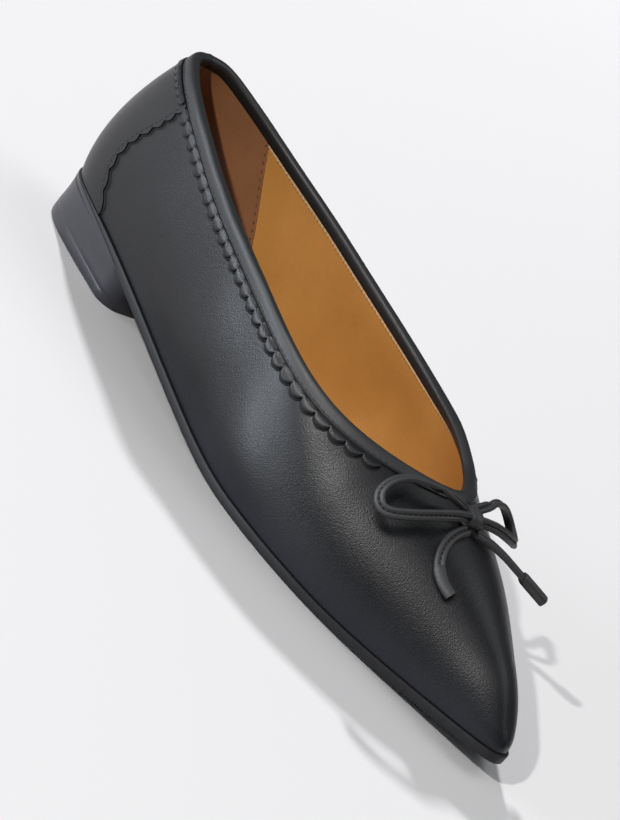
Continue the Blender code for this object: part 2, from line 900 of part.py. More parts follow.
def insole(last):
    """The padded footbed, inside the upper's wall and over the outsole."""
    inset = UPPER_WALL + 2 * GAP
    sheet = Sheet()
    columns = []
    for i in range(SOLE_STEPS + 1):
        k = FOOTBED_FRONT + (1 - FOOTBED_FRONT) * i / SOLE_STEPS
        outer, inner = edge_pair(last, k, -inset)
        column = []
        for j in range(ACROSS_STEPS + 1):
            share = j / ACROSS_STEPS
            across = math.sin(math.pi * (share - 0.5))
            place = (outer + inner) / 2 + (inner - outer) / 2 * across
            top = place + np.array((0.0, 0.0, insole_top(share_at(k), across)))
            key = (i, 0 if np.linalg.norm(inner - outer) < 1e-6 else j)
            column.append(sheet.vertex(key, top, place))
        columns.append(column)
    sheet.grid(columns)
    points, faces = sheet.solid()
    return make_object("insole", points, faces, LINING_LEATHER)


class Vamp:
    """The vamp seen from above, for what lies on it."""

    def __init__(self, last, collar):
        self.last = last
        self.k = last.ridge_station(collar.THROAT_ALONG + KNOT_SETBACK / LAST_LENGTH)
        self.knot = last.point(Spot(1, self.k, 1.0))

    def spot(self, x, y):
        """The spot under a place in plan."""
        along = x / LAST_LENGTH
        middle = self.last.ridge_inward(along) + self.last.toe_turn(along)
        spot = Spot(1 if y >= middle else -1, self.k, 0.85)
        for _ in range(30):
            by_k, by_v = self.last.moves(spot)
            error = np.array((x, y)) - self.last.point(spot)[:2]
            matrix = np.column_stack((by_k[:2], by_v[:2]))
            change = np.linalg.lstsq(matrix, error, rcond=None)[0]
            change *= min(1.0, 0.05 / max(float(np.abs(change).max()), 1e-9))
            k = min(max(spot.k + float(change[0]), 0.02), 0.9)
            spot = spot._replace(k=k, v=min(max(spot.v + float(change[1]), 0.05), 0.9999))
        return spot

    def above(self, forward, inward, rise):
        """The place at a rise above the vamp, from the knot, and the way up."""
        spot = self.spot(self.knot[0] + forward, self.knot[1] + inward)
        up = self.last.normal(spot)
        return self.last.point(spot) + up * rise, up


def lace_section():
    """The flat lace's section: two rounded edges with a channel between."""
    rows = (
        (1.0, 0.0), (0.86, 0.75), (0.5, 1.0), (0.18, 0.62),
        (-0.18, 0.62), (-0.5, 1.0), (-0.86, 0.75), (-1.0, 0.0),
        (-0.86, -0.75), (-0.5, -1.0), (0.5, -1.0), (0.86, -0.75),
    )
    return [(a * LACE_WIDTH / 2, b * LACE_THICK / 2) for a, b in rows]


def sweep_lace(name, places, faces_to, scales):
    """The lace along places, its face turned to a direction at each of them."""
    section = lace_section()
    points = []
    for i, place in enumerate(places):
        ahead = places[min(i + 1, len(places) - 1)]
        behind = places[max(i - 1, 0)]
        run = unit(ahead - behind)
        face = unit(faces_to[i] - run * float(faces_to[i] @ run))
        beside = np.cross(face, run)
        for a, b in section:
            points.append(place + beside * a * scales[i][0] + face * b * scales[i][1])
    sides = len(section)
    faces = []
    for i in range(len(places) - 1):
        for j in range(sides):
            k = (j + 1) % sides
            faces.append([i * sides + k, i * sides + j, (i + 1) * sides + j, (i + 1) * sides + k])
    faces.append(list(range(sides)))
    last_ring = (len(places) - 1) * sides
    faces.append([last_ring + j for j in reversed(range(sides))])
    return make_object(name, points, faces, LACE_LEATHER)


def smooth_rows(rows, reach, side, steps):
    """Even steps along a smooth curve through a lace's rows."""
    forward = [row.forward * reach for row in rows]
    inward = [row.sideways * reach * side for row in rows]
    rise = [row.rise * reach for row in rows]
    marks = [0.0]
    for i in range(1, len(rows)):
        hop = math.dist((forward[i], inward[i]), (forward[i - 1], inward[i - 1]))
        marks.append(marks[-1] + hop)
    curves = [Curve(marks, values) for values in (forward, inward, rise)]
    return [[curve(marks[-1] * i / steps) for curve in curves] for i in range(steps + 1)]


def bow_loop(vamp, side, name):
    """One loop of the bow, standing off the vamp from its knot."""
    rows = smooth_rows(LOOP, LOOP_REACH, side, LOOP_STEPS)
    places, faces_to = [], []
    middle = np.array((-0.16, 0.5 * side)) * LOOP_REACH
    for forward, inward, rise in rows:
        place, up = vamp.above(forward, inward, rise)
        out = np.array((forward - middle[0], (inward - middle[1]) * 0.6, 0.0))
        places.append(place)
        near = 1 - ease(0.1, 0.5, abs(inward) / LOOP_REACH)
        faces_to.append(unit(out) + up * (1 - near) * 0.8)
    return sweep_lace(name, places, faces_to, [(1.0, 1.0)] * len(places))


def bow_tail(vamp, rows, side, free, name):
    """One end of the lace over the vamp, run on straight by a free length."""
    on_vamp = TAIL_STEPS if free == 0.0 else TAIL_STEPS // 2
    places, faces_to = [], []
    for forward, inward, rise in smooth_rows(rows, TAIL_REACH, side, on_vamp):
        place, up = vamp.above(forward, inward, rise)
        places.append(place)
        faces_to.append(up)
    onward = unit(places[-1] - places[-2])
    for i in range(TAIL_STEPS - on_vamp):
        places.append(places[-1] + onward * free / (TAIL_STEPS - on_vamp))
        faces_to.append(faces_to[-1])
    run = [0.0]
    for a, b in zip(places, places[1:]):
        run.append(run[-1] + float(np.linalg.norm(b - a)))
    start = run[-1] - TIP_LENGTH
    scales = [(1.0 + TIP_SWELL * ease(start, start + TIP_SHOULDER, r), 1.0) for r in run]
    return sweep_lace(name, places, faces_to, scales)


def bow_knot(vamp):
    """The knot: the lace wrapped once round the crossing, ridges on its face."""
    place, up = vamp.above(0.0, 0.0, GAP + KNOT_HEIGHT / 2)
    across = np.array((0.0, 1.0, 0.0))
    ahead = unit(np.cross(across, up))
    shares = (-1.0, -0.86, -0.5, -0.18, 0.18, 0.5, 0.86, 1.0)
    sizes = (0.80, 0.93, 1.0, 0.93, 0.93, 1.0, 0.93, 0.80)
    points = []
    for share, size in zip(shares, sizes):
        for i in range(ROUND_STEPS):
            turn = 2 * math.pi * i / ROUND_STEPS
            x = math.copysign(abs(math.cos(turn)) ** 0.75, math.cos(turn))
            z = math.copysign(abs(math.sin(turn)) ** 0.75, math.sin(turn))
            offset = ahead * x * KNOT_LENGTH / 2 + up * z * KNOT_HEIGHT / 2
            points.append(place + offset * size + across * share * LACE_WIDTH / 2)
    faces = []
    for i in range(len(shares) - 1):
        for j in range(ROUND_STEPS):
            k = (j + 1) % ROUND_STEPS
            ring, after = i * ROUND_STEPS, (i + 1) * ROUND_STEPS
            faces.append([ring + j, ring + k, after + k, after + j])
    faces.append(list(reversed(range(ROUND_STEPS))))
    faces.append([(len(shares) - 1) * ROUND_STEPS + j for j in range(ROUND_STEPS)])
    return make_object("bow_knot", points, faces, LACE_LEATHER)


def centre_on_floor(pieces):
    """Move every mesh so that the middle of the shoe's box stands on the origin."""
    corners = np.array([v.co for piece in pieces for v in piece.data.vertices])
    low, high = corners.min(axis=0), corners.max(axis=0)
    shift = (-(low[0] + high[0]) / 2, -(low[1] + high[1]) / 2, -low[2])
    for piece in pieces:
        for v in piece.data.vertices:
            v.co = [c + s for c, s in zip(v.co, shift)]


def build():
    """Make the shoe."""
    for piece in list(bpy.data.objects):
        bpy.data.objects.remove(piece, do_unlink=True)
    last = Last()
    collar = Collar(last)
    vamp = Vamp(last, collar)
    pieces = [
        outsole(last),
        heel(last),
        insole(last),
        upper(last, collar),
        counter(last, collar),
        trim(last, collar, -1, "topline_trim_lateral"),
        trim(last, collar, 1, "topline_trim_medial"),
        binding(last, collar),
        bow_knot(vamp),
        bow_loop(vamp, -1, "bow_loop_lateral"),
        bow_loop(vamp, 1, "bow_loop_medial"),
        bow_tail(vamp, OUTER_TAIL, -1, 0.0, "bow_tail_lateral"),
        bow_tail(vamp, INNER_TAIL, 1, INNER_TAIL_FREE, "bow_tail_medial"),
    ]
    centre_on_floor(pieces)


build()
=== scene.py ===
"""The dressed ballet flat: a right shoe in black leather with a tan lining.

Metres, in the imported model's frame: X runs from the heel to the toe, Y to the
inner side of the foot and Z up. Every piece is worked out from one last.
"""
from __future__ import annotations

import logging
import math
from dataclasses import dataclass, field
from enum import Enum
from typing import NamedTuple, Sequence

import bmesh
import bpy
import numpy as np
from mathutils import Matrix, Vector


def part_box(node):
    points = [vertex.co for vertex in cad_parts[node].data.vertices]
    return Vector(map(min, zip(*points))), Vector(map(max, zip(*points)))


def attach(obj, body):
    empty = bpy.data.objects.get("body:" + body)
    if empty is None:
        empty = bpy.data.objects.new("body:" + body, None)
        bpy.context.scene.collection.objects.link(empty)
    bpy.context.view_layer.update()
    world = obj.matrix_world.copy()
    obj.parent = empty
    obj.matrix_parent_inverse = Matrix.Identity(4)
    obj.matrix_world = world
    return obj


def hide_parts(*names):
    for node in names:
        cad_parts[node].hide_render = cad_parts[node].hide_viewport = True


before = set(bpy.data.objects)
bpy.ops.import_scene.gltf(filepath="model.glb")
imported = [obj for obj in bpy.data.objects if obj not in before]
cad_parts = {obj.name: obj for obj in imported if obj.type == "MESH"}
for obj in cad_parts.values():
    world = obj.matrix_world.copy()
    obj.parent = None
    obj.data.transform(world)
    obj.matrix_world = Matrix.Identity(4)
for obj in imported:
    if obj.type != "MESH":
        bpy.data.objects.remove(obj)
log = logging.getLogger("ballet_flat")
Array = np.ndarray
Colour = tuple[float, float, float]
MM = 0.001
SIDES = ((-1, "lateral"), (1, "medial"))


class OutlineRow(NamedTuple):
    """Half widths of the feather edge: shares of the length and ball width."""

    along: float
    outer: float
    inner: float


OUTLINE = (
    OutlineRow(0.08, 0.262, 0.256),
    OutlineRow(0.20, 0.327, 0.330),
    OutlineRow(0.33, 0.382, 0.366),
    OutlineRow(0.46, 0.440, 0.418),
    OutlineRow(0.58, 0.484, 0.462),
    OutlineRow(0.68, 0.450, 0.518),
    OutlineRow(0.78, 0.346, 0.477),
    OutlineRow(0.90, 0.168, 0.277),
    OutlineRow(0.96, 0.088, 0.154),
)


class RidgeRow(NamedTuple):
    """The last's top line: shares of its length, height and ball width."""

    along: float
    height: float
    inward: float


RIDGE = (
    RidgeRow(0.100, 0.930, 0.000),
    RidgeRow(0.200, 1.000, 0.000),
    RidgeRow(0.350, 0.887, 0.020),
    RidgeRow(0.500, 0.694, 0.050),
    RidgeRow(0.600, 0.548, 0.060),
    RidgeRow(0.690, 0.440, 0.036),
    RidgeRow(0.800, 0.362, 0.027),
    RidgeRow(0.900, 0.278, 0.018),
    RidgeRow(0.950, 0.222, 0.006),
    RidgeRow(0.985, 0.152, 0.000),
)


class RibRow(NamedTuple):
    """Fullness of a rib from the feather edge to the ridge, by station."""

    station: float
    rise: float
    bulge: float
    crown: float


RIBS = (
    RibRow(0.00, 0.490, 0.090, 0.555),
    RibRow(0.30, 0.487, 0.065, 0.525),
    RibRow(0.50, 0.668, 0.175, 0.750),
    RibRow(0.75, 0.655, 0.165, 0.780),
    RibRow(0.88, 0.360, 0.270, 0.560),
    RibRow(1.00, 0.320, 0.530, 0.590),
)


class CollarRow(NamedTuple):
    """The collar from the side: shares of the way from heel to throat."""

    along: float
    outer: float
    inner: float


COLLAR = (
    CollarRow(0.028, 0.885, 0.885),
    CollarRow(0.170, 0.752, 0.626),
    CollarRow(0.355, 0.466, 0.458),
    CollarRow(0.567, 0.226, 0.292),
    CollarRow(0.737, 0.031, 0.191),
    CollarRow(0.865, -0.068, 0.135),
    CollarRow(0.936, -0.052, 0.047),
    CollarRow(1.000, 0.000, 0.000),
)


class EdgeRow(NamedTuple):
    """A front edge in the heel: share of its height and of the last's length."""

    height: float
    along: float


COUNTER_EDGE = (
    EdgeRow(0.00, 0.119),
    EdgeRow(0.18, 0.089),
    EdgeRow(0.42, 0.080),
    EdgeRow(0.72, 0.101),
    EdgeRow(1.00, 0.114),
)
LINING_EDGE = (
    EdgeRow(0.00, 0.206),
    EdgeRow(0.35, 0.176),
    EdgeRow(0.70, 0.135),
    EdgeRow(1.00, 0.102),
)


class LaceRow(NamedTuple):
    """A point of the lace from the knot, as shares of its reach."""

    forward: float
    sideways: float
    rise: float


LOOP = (
    LaceRow(-0.09, 0.085, 0.125),
    LaceRow(-0.17, 0.260, 0.175),
    LaceRow(-0.32, 0.520, 0.215),
    LaceRow(-0.42, 0.780, 0.245),
    LaceRow(-0.37, 0.940, 0.250),
    LaceRow(-0.20, 0.960, 0.245),
    LaceRow(-0.04, 0.800, 0.230),
    LaceRow(0.06, 0.520, 0.205),
    LaceRow(0.075, 0.270, 0.175),
    LaceRow(0.05, 0.085, 0.125),
)
OUTER_TAIL = (
    LaceRow(0.155, 0.085, 0.048),
    LaceRow(0.215, 0.250, 0.050),
    LaceRow(0.310, 0.420, 0.052),
    LaceRow(0.440, 0.530, 0.052),
    LaceRow(0.600, 0.580, 0.055),
    LaceRow(0.760, 0.570, 0.060),
    LaceRow(0.900, 0.530, 0.065),
)
INNER_TAIL = (
    LaceRow(0.155, 0.085, 0.048),
    LaceRow(0.240, 0.270, 0.085),
    LaceRow(0.370, 0.500, 0.155),
)


def unit(vectors: Array) -> Array:
    """Vectors at length 1."""
    return vectors / np.linalg.norm(vectors, axis=-1, keepdims=True)


def dot(a: Array, b: Array) -> Array:
    """Dot products of rows of vectors."""
    return (a * b).sum(axis=-1)


def ease(start: float, end: float, x: Array) -> Array:
    """0 before start, 1 after end and smooth between."""
    t = np.clip((np.asarray(x, float) - start) / (end - start), 0.0, 1.0)
    return t * t * (3 - 2 * t)


def hill(middle: float, width: float, x: Array) -> Array:
    """A round hill of height 1."""
    return np.exp(-(((x - middle) / width) ** 2))


def blunt(values: Array, power: float) -> Array:
    """Sines or cosines drawn towards their ends, for a squarish ring."""
    return np.sign(values) * np.abs(values) ** power


def twin_rolls(share: Array) -> Array:
    """Two round rolls side by side over shares of -1 to 1."""
    return np.sqrt(np.clip(1 - (2 * np.abs(share) - 1) ** 2, 0.0, 1.0))


def lengths(places: Array) -> Array:
    """Lengths along a path, from 0 at its first point."""
    hops = np.linalg.norm(np.diff(places, axis=0), axis=1)
    return np.concatenate([[0.0], np.cumsum(hops)])


class Spline:
    """A cubic spline, held level outside its ends, or also at them."""

    def __init__(self, xs: Sequence[float], ys: Sequence[float], level: bool = False) -> None:
        """Work out the bends.

        Args:
            xs: Places, rising.
            ys: Values at them.
            level: Whether the ends are level.
        """
        self.xs = np.array(xs, float)
        self.ys = np.array(ys, float)
        steps = np.diff(self.xs)
        count = len(self.xs)
        matrix, right = np.eye(count), np.zeros(count)
        slopes = np.diff(self.ys) / steps
        for i in range(1, count - 1):
            matrix[i, i - 1 : i + 2] = (steps[i - 1], 2 * (steps[i - 1] + steps[i]), steps[i])
            right[i] = 6 * (slopes[i] - slopes[i - 1])
        if level:
            matrix[0, :2] = (2 * steps[0], steps[0])
            right[0] = 6 * slopes[0]
            matrix[-1, -2:] = (steps[-1], 2 * steps[-1])
            right[-1] = -6 * slopes[-1]
        self.bends = np.linalg.solve(matrix, right)

    def __call__(self, x: Array) -> Array:
        """Values at places.

        Args:
            x: The places.

        Returns:
            One value for each of them.
        """
        x = np.clip(np.asarray(x, float), self.xs[0], self.xs[-1])
        i = np.clip(np.searchsorted(self.xs, x, side="right") - 1, 0, len(self.xs) - 2)
        step = self.xs[i + 1] - self.xs[i]
        left, right = self.xs[i + 1] - x, x - self.xs[i]
        bend = (self.bends[i] * left**3 + self.bends[i + 1] * right**3) / (6 * step)
        low = (self.ys[i] / step - self.bends[i] * step / 6) * left
        return bend + low + (self.ys[i + 1] / step - self.bends[i + 1] * step / 6) * right

    def slope(self, x: Array) -> Array:
        """Rise for each unit of x."""
        return (self(x + 1e-4) - self(x - 1e-4)) / 2e-4


def station_at(along: Array) -> Array:
    """The station whose feather edge lies at a share of the length."""
    return np.arccos(np.clip(2 * np.asarray(along, float) - 1, -1.0, 1.0)) / math.pi


def share_at(station: Array) -> Array:
    """The share of the length at a station."""
    return (1 + np.cos(math.pi * np.asarray(station, float))) / 2


class Spots(NamedTuple):
    """Places on the last: side -1 outer or 1 inner, station and height."""

    side: Array
    k: Array
    v: Array

    @classmethod
    def of(cls, side: Array, k: Array, v: Array) -> Spots:
        """Spots from numbers or arrays that fit each other."""
        side, k, v = np.broadcast_arrays(np.asarray(side, float), k, v)
        return cls(side, np.array(k, float), np.array(v, float))

    @classmethod
    def joined(cls, outer: Spots, inner: Spots) -> Spots:
        """Columns of both sides as one run, turned where the two end together."""
        back = [part[::-1][1:] for part in inner]
        return cls(*(np.concatenate(pair) for pair in zip(outer, back)))


@dataclass
class Last:
    """The outer surface of the upper, as ribs from feather edge to ridge."""

    length: float = 0.252
    ball_width: float = 0.080
    height: float = 0.1014
    heel_radius: float = 0.0305
    toe_radius_outer: float = 0.0026
    toe_radius_inner: float = 0.0060
    toe_outward: float = 0.0036
    heel_height: float = 0.0162
    toe_spring: float = 0.0062
    sole_thick: float = 0.0030
    sole_margin: float = 0.0010
    gap: float = 0.0003
    arch_from: float = 0.05
    tread_from: float = 0.595
    tread_to: float = 0.74
    spring_curve: float = 1.7
    tip_station: float = 0.05
    tip_rise: float = 0.95
    shift: Array = field(default_factory=lambda: np.zeros(3))

    def __post_init__(self) -> None:
        """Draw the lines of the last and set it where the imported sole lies."""
        rows = OUTLINE[::-1]
        ks = [0.0] + [float(station_at(row.along)) for row in rows] + [1.0]
        self.outer = Spline(ks, self._full([r.outer for r in rows], ks, self.toe_radius_outer))
        self.inner = Spline(ks, self._full([r.inner for r in rows], ks, self.toe_radius_inner))
        along = [row.along for row in RIDGE]
        self.ridge_height = Spline(along, [row.height * self.height for row in RIDGE])
        self.ridge_inward = Spline(along, [row.inward * self.ball_width for row in RIDGE])
        places = [row.station for row in RIBS]
        self.rise = Spline(places, [row.rise for row in RIBS], level=True)
        self.bulge = Spline(places, [row.bulge for row in RIBS], level=True)
        self.crown = Spline(places, [row.crown for row in RIBS], level=True)
        low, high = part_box("outsole")
        k = np.linspace(0.0, 1.0, 400)
        edges = np.concatenate([self.edge(side, k, self.sole_margin) for side in (-1, 1)])
        middle = (edges.min(axis=0) + edges.max(axis=0)) / 2
        centre = ((low.x + high.x) / 2 - middle[0], (low.y + high.y) / 2 - middle[1])
        self.shift = np.array([*centre, 0.0])

    def _full(self, shares: Sequence[float], ks: Sequence[float], toe: float) -> list[float]:
        """Half widths over the sine of the station, with both ends rounded.

        Args:
            shares: Half widths as shares of the ball width.
            ks: Stations, with both ends.
            toe: Radius of the outline at the toe.

        Returns:
            One value for each station.
        """
        inside = [s * self.ball_width / math.sin(math.pi * k) for s, k in zip(shares, ks[1:-1])]
        ends = [math.sqrt(r * self.length / 2) for r in (toe, self.heel_radius)]
        return [ends[0], *inside, ends[1]]

    def seat(self, along: Array) -> Array:
        """Height of the feather edge above the floor.

        Args:
            along: Shares of the length.

        Returns:
            Heights: up at the heel, level at the tread, up a little at the toe.
        """
        tread = self.sole_thick + self.gap
        arch = 1 - ease(self.arch_from, self.tread_from, along)
        toe = np.clip((along - self.tread_to) / (1 - self.tread_to), 0.0, 1.0)
        return tread + arch * (self.heel_height - tread) + self.toe_spring * toe**self.spring_curve

    def turn(self, along: Array) -> Array:
        """How far the toe's centre line has turned to the outer side."""
        return -self.toe_outward * ease(0.6, 1.0, along)

    def foot(self, side: Array, k: Array) -> Array:
        """The feather edge at stations.

        Args:
            side: -1 outer or 1 inner.
            k: Stations, 0 at the toe and 1 at the heel.

        Returns:
            Points, one row each.
        """
        side, k = np.broadcast_arrays(np.asarray(side, float), np.asarray(k, float))
        along = share_at(k)
        half = np.sin(math.pi * k) * np.where(side < 0, self.outer(k), self.inner(k))
        y = side * half + self.turn(along)
        return np.stack([along * self.length, y, self.seat(along)], axis=-1) + self.shift

    def ridge(self, k: Array) -> tuple[Array, Array]:
        """The ridge over stations.

        Args:
            k: Stations.

        Returns:
            Points on the top line, and its slope along the shoe.
        """
        low, high = RIDGE[0].along, RIDGE[-1].along
        along = low + (high - low) * share_at(k)
        y = self.ridge_inward(along) + self.turn(along)
        place = np.stack([along * self.length, y, self.ridge_height(along)], axis=-1)
        return place + self.shift, self.ridge_height.slope(along) / self.length

    def ridge_station(self, along: float) -> float:
        """The station whose ridge lies at a share of the length."""
        low, high = RIDGE[0].along, RIDGE[-1].along
        return float(station_at((along - low) / (high - low)))

    def point(self, spots: Spots) -> Array:
        """The places of spots.

        Args:
            spots: Where on the last.

        Returns:
            Points, one row each.
        """
        foot = self.foot(spots.side, spots.k)
        top, slope = self.ridge(spots.k)
        level = top - foot
        height = level[..., 2]
        reach = level * (1.0, 1.0, 0.0)
        level = np.stack([level[..., 0], level[..., 1], level[..., 0] * slope], axis=-1)
        low = foot - reach * self.bulge(spots.k)[..., None]
        low[..., 2] += height * self.rise(spots.k)
        high = top - level * self.crown(spots.k)[..., None]
        v = spots.v[..., None]
        u = 1 - v
        return u**3 * foot + 3 * u * u * v * low + 3 * u * v * v * high + v**3 * top

    def moves(self, spots: Spots) -> tuple[Array, Array]:
        """How places move with the station and with the height.

        Args:
            spots: Where on the last.

        Returns:
            The move for each unit of station, and of height.
        """
        step = 0.002
        k0, k1 = np.maximum(spots.k - step, 0.0), np.minimum(spots.k + step, 1.0)
        v0, v1 = np.maximum(spots.v - step, 0.0), np.minimum(spots.v + step, 1.0)
        by_k = self.point(spots._replace(k=k1)) - self.point(spots._replace(k=k0))
        by_v = self.point(spots._replace(v=v1)) - self.point(spots._replace(v=v0))
        return by_k / (k1 - k0)[..., None], by_v / (v1 - v0)[..., None]

    def normal(self, spots: Spots) -> Array:
        """Outward directions, shared by both sides where they meet.

        The ribs run together at the toe's tip, so it is read a little lower.

        Args:
            spots: Where on the last.

        Returns:
            Unit vectors, one row each.
        """
        seam = (spots.v >= 1.0) | (spots.k <= 0.0) | (spots.k >= 1.0)
        tip = (spots.v >= 1.0) & (spots.k < self.tip_station)
        spots = spots._replace(v=np.where(tip, self.tip_rise, spots.v))
        total = np.zeros(spots.k.shape + (3,))
        for flip in (1.0, -1.0):
            turned = spots._replace(side=spots.side * flip)
            by_k, by_v = self.moves(turned)
            out = unit(np.cross(by_k, by_v) * turned.side[..., None])
            total += out if flip > 0 else out * seam[..., None]
        return unit(total)

    def place(self, spots: Spots, offset: Array | float = 0.0) -> Array:
        """Places of spots, lifted off the surface by an offset."""
        return self.point(spots) + self.normal(spots) * np.asarray(offset, float)[..., None]

    def edge(self, side: float, k: Array, margin: float) -> Array:
        """The feather edge, moved outwards in plan.

        Args:
            side: -1 outer or 1 inner.
            k: Stations.
            margin: How far it moves.

        Returns:
            Points, one row each.
        """
        step = 0.004
        ahead, behind = np.maximum(k - step, 0.0), np.minimum(k + step, 1.0)
        run = self.foot(side, ahead) - self.foot(side, behind)
        out = np.stack([side * -run[..., 1], side * run[..., 0], 0.0 * run[..., 0]], axis=-1)
        out[k <= 0.0] = (1.0, 0.0, 0.0)
        out[k >= 1.0] = (-1.0, 0.0, 0.0)
        return self.foot(side, k) + unit(out) * margin


@dataclass
class Collar:
    """The edge of the opening, a loop from the heel round the throat and back."""

    last: Last
    height: float = 0.0692
    vamp_length: float = 0.0743
    reach: float = 1.2 * MM
    samples: int = 600
    halvings: int = 32
    strides: int = 4

    def __post_init__(self) -> None:
        """Find the collar on the last and measure it."""
        self.throat = 1 - self.vamp_length / self.last.length
        self.throat_k = self.last.ridge_station(self.throat)
        throat_z = self.last.ridge(np.array(self.throat_k))[0][2]
        along = [row.along * self.throat for row in COLLAR]
        self.heights: dict[int, Spline] = {}
        self.ks: dict[int, Array] = {}
        self.arcs: dict[int, Array] = {}
        for side, shares in ((-1, [r.outer for r in COLLAR]), (1, [r.inner for r in COLLAR])):
            levels = [throat_z + share * (self.height - throat_z) for share in shares]
            self.heights[side] = Spline(along, levels)
            k = self.throat_k + (1 - self.throat_k) * np.linspace(1.0, 0.0, self.samples) ** 2
            self.ks[side] = k
            self.arcs[side] = lengths(self.last.point(Spots.of(side, k, self.rise(side, k))))
        self.outer_length = float(self.arcs[-1][-1])
        self.total = self.outer_length + float(self.arcs[1][-1])

    def rise(self, side: int, k: Array) -> Array:
        """How far up its rib the collar lies at stations.

        Args:
            side: -1 outer or 1 inner.
            k: Stations.

        Returns:
            Heights on the ribs, 1 at the throat.
        """
        low, high = np.zeros(k.shape), np.ones(k.shape)
        for _ in range(self.halvings):
            v = (low + high) / 2
            place = self.last.point(Spots.of(side, k, v)) - self.last.shift
            along = place[..., 0] / self.last.length
            above = (along < self.throat) & (place[..., 2] > self.heights[side](along))
            high = np.where(above, v, high)
            low = np.where(above, low, v)
        return np.where(k <= self.throat_k, 1.0, (low + high) / 2)

    def spots(self, s: Array) -> Spots:
        """Spots of the collar itself.

        Args:
            s: Lengths along its loop.

        Returns:
            The spots.
        """
        s = np.asarray(s, float) % self.total
        outer = s <= self.outer_length
        k_outer = np.interp(s, self.arcs[-1], self.ks[-1])
        k_inner = np.interp(self.total - s, self.arcs[1], self.ks[1])
        v = np.where(outer, self.rise(-1, k_outer), self.rise(1, k_inner))
        return Spots.of(np.where(outer, -1.0, 1.0), np.where(outer, k_outer, k_inner), v)

    def down(self, s: Array) -> Array:
        """Directions in the surface that lead straight away from the opening.

        Args:
            s: Lengths along the loop.

        Returns:
            Unit vectors, one row each.
        """
        ahead = self.last.point(self.spots(s + self.reach))
        behind = self.last.point(self.spots(s - self.reach))
        return unit(np.cross(unit(ahead - behind), self.last.normal(self.spots(s))))

    def below(self, s: Array, distance: Array | float) -> Spots:
        """Spots a distance down the surface from the collar.

        Args:
            s: Lengths along the loop.
            distance: How far down.

        Returns:
            The spots.
        """
        s, distance = np.broadcast_arrays(np.asarray(s, float), np.asarray(distance, float))
        spots, down = self.spots(s), self.down(s)
        throat = np.abs(s - self.outer_length) < 1e-9
        goal = down * (distance / self.strides)[..., None]
        for _ in range(self.strides):
            by_k, by_v = self.last.moves(spots)
            kk, kv, vv = dot(by_k, by_k), dot(by_k, by_v), dot(by_v, by_v)
            gk, gv = dot(goal, by_k), dot(goal, by_v)
            whole = kk * vv - kv * kv + 1e-18
            change_k = np.where(spots.k >= 1.0, 0.0, (gk * vv - gv * kv) / whole)
            change_v = np.where(spots.k >= 1.0, gv / vv, (gv * kk - gk * kv) / whole)
            change_k = np.where(throat, gk / kk, change_k)
            change_v = np.where(throat, 0.0, change_v)
            k = np.clip(spots.k + change_k, 0.0, 1.0)
            spots = Spots(spots.side, k, np.minimum(spots.v + change_v, 1.0))
        return spots

    def arc_at(self, side: int, k: Array | float) -> Array:
        """Lengths from the heel to stations, along one side."""
        return np.interp(-np.asarray(k, float), -self.ks[side], self.arcs[side])

    def loop_at(self, side: int, arc: Array) -> Array:
        """Lengths from the heel along one side, as lengths along the loop."""
        return arc if side < 0 else self.total - arc

    def around(self, count: int, closed: bool = True) -> Array:
        """Even lengths round the whole loop, one of them at the throat.

        Args:
            count: How many.
            closed: Whether the last stops short of the first, as on a ring.

        Returns:
            Lengths along the loop.
        """
        s = np.linspace(0.0, self.total, count, endpoint=not closed)
        s[np.argmin(np.abs(s - self.outer_length))] = self.outer_length
        return s

    def place(self, s: Array, distance: float, offset: Array | float) -> Array:
        """Points by the collar.

        Args:
            s: Lengths along the loop.
            distance: How far below the edge, or above it where negative.
            offset: How far off the surface.

        Returns:
            Points, one row each.
        """
        if distance >= 0.0:
            return self.last.place(self.below(s, distance), offset)
        return self.last.place(self.spots(s), offset) + self.down(s) * distance


class Shell(NamedTuple):
    """Points and faces of a closed mesh."""

    points: Array
    faces: list


def grid_faces(columns: int, rows: int) -> list:
    """Quads of a grid whose points are stored column by column.

    Args:
        columns: How many columns it has.
        rows: How many points each has.

    Returns:
        The faces.
    """
    faces = []
    for c in range(columns - 1):
        a, b = c * rows, (c + 1) * rows
        faces += [[a + r, b + r, b + r + 1, a + r + 1] for r in range(rows - 1)]
    return faces


def thicken(outer: Array, inner: Array, faces: list) -> Shell:
    """A closed wall between two skins that share their faces.

    Args:
        outer: Points of the outer skin.
        inner: A point behind each of them.
        faces: Faces of the outer skin.

    Returns:
        The wall, with its rim.
    """
    outer, inner = outer.reshape(-1, 3), inner.reshape(-1, 3)
    keys = np.round(outer, 6)
    _, first, index = np.unique(keys, axis=0, return_index=True, return_inverse=True)
    index = index.reshape(-1)
    outer, inner = outer[first], inner[first]
    skin = []
    for face in faces:
        ring = [int(index[i]) for i in face]
        ring = [c for i, c in enumerate(ring) if c != ring[i - 1]]
        if len(set(ring)) > 2:
            skin.append(ring)
    count = len(outer)
    edges = {(a, b) for ring in skin for a, b in zip(ring, ring[1:] + ring[:1])}
    rim = [[b, a, a + count, b + count] for a, b in sorted(edges) if (b, a) not in edges]
    back = [[i + count for i in reversed(ring)] for ring in skin]
    return Shell(np.concatenate([outer, inner]), skin + back + rim)


def sweep(places: Array, ring: bool) -> Shell:
    """A section carried along a path whose points are already worked out.

    Args:
        places: Points, path step by section point.
        ring: Whether the path closes.

    Returns:
        The closed tube.
    """
    steps, sides = places.shape[:2]
    faces = []
    for i in range(steps if ring else steps - 1):
        a, b = i * sides, (i + 1) % steps * sides
        faces += [[a + j, a + (j + 1) % sides, b + (j + 1) % sides, b + j] for j in range(sides)]
    if not ring:
        faces += [list(range(sides)), [(steps - 1) * sides + j for j in reversed(range(sides))]]
    return Shell(places.reshape(-1, 3), faces)


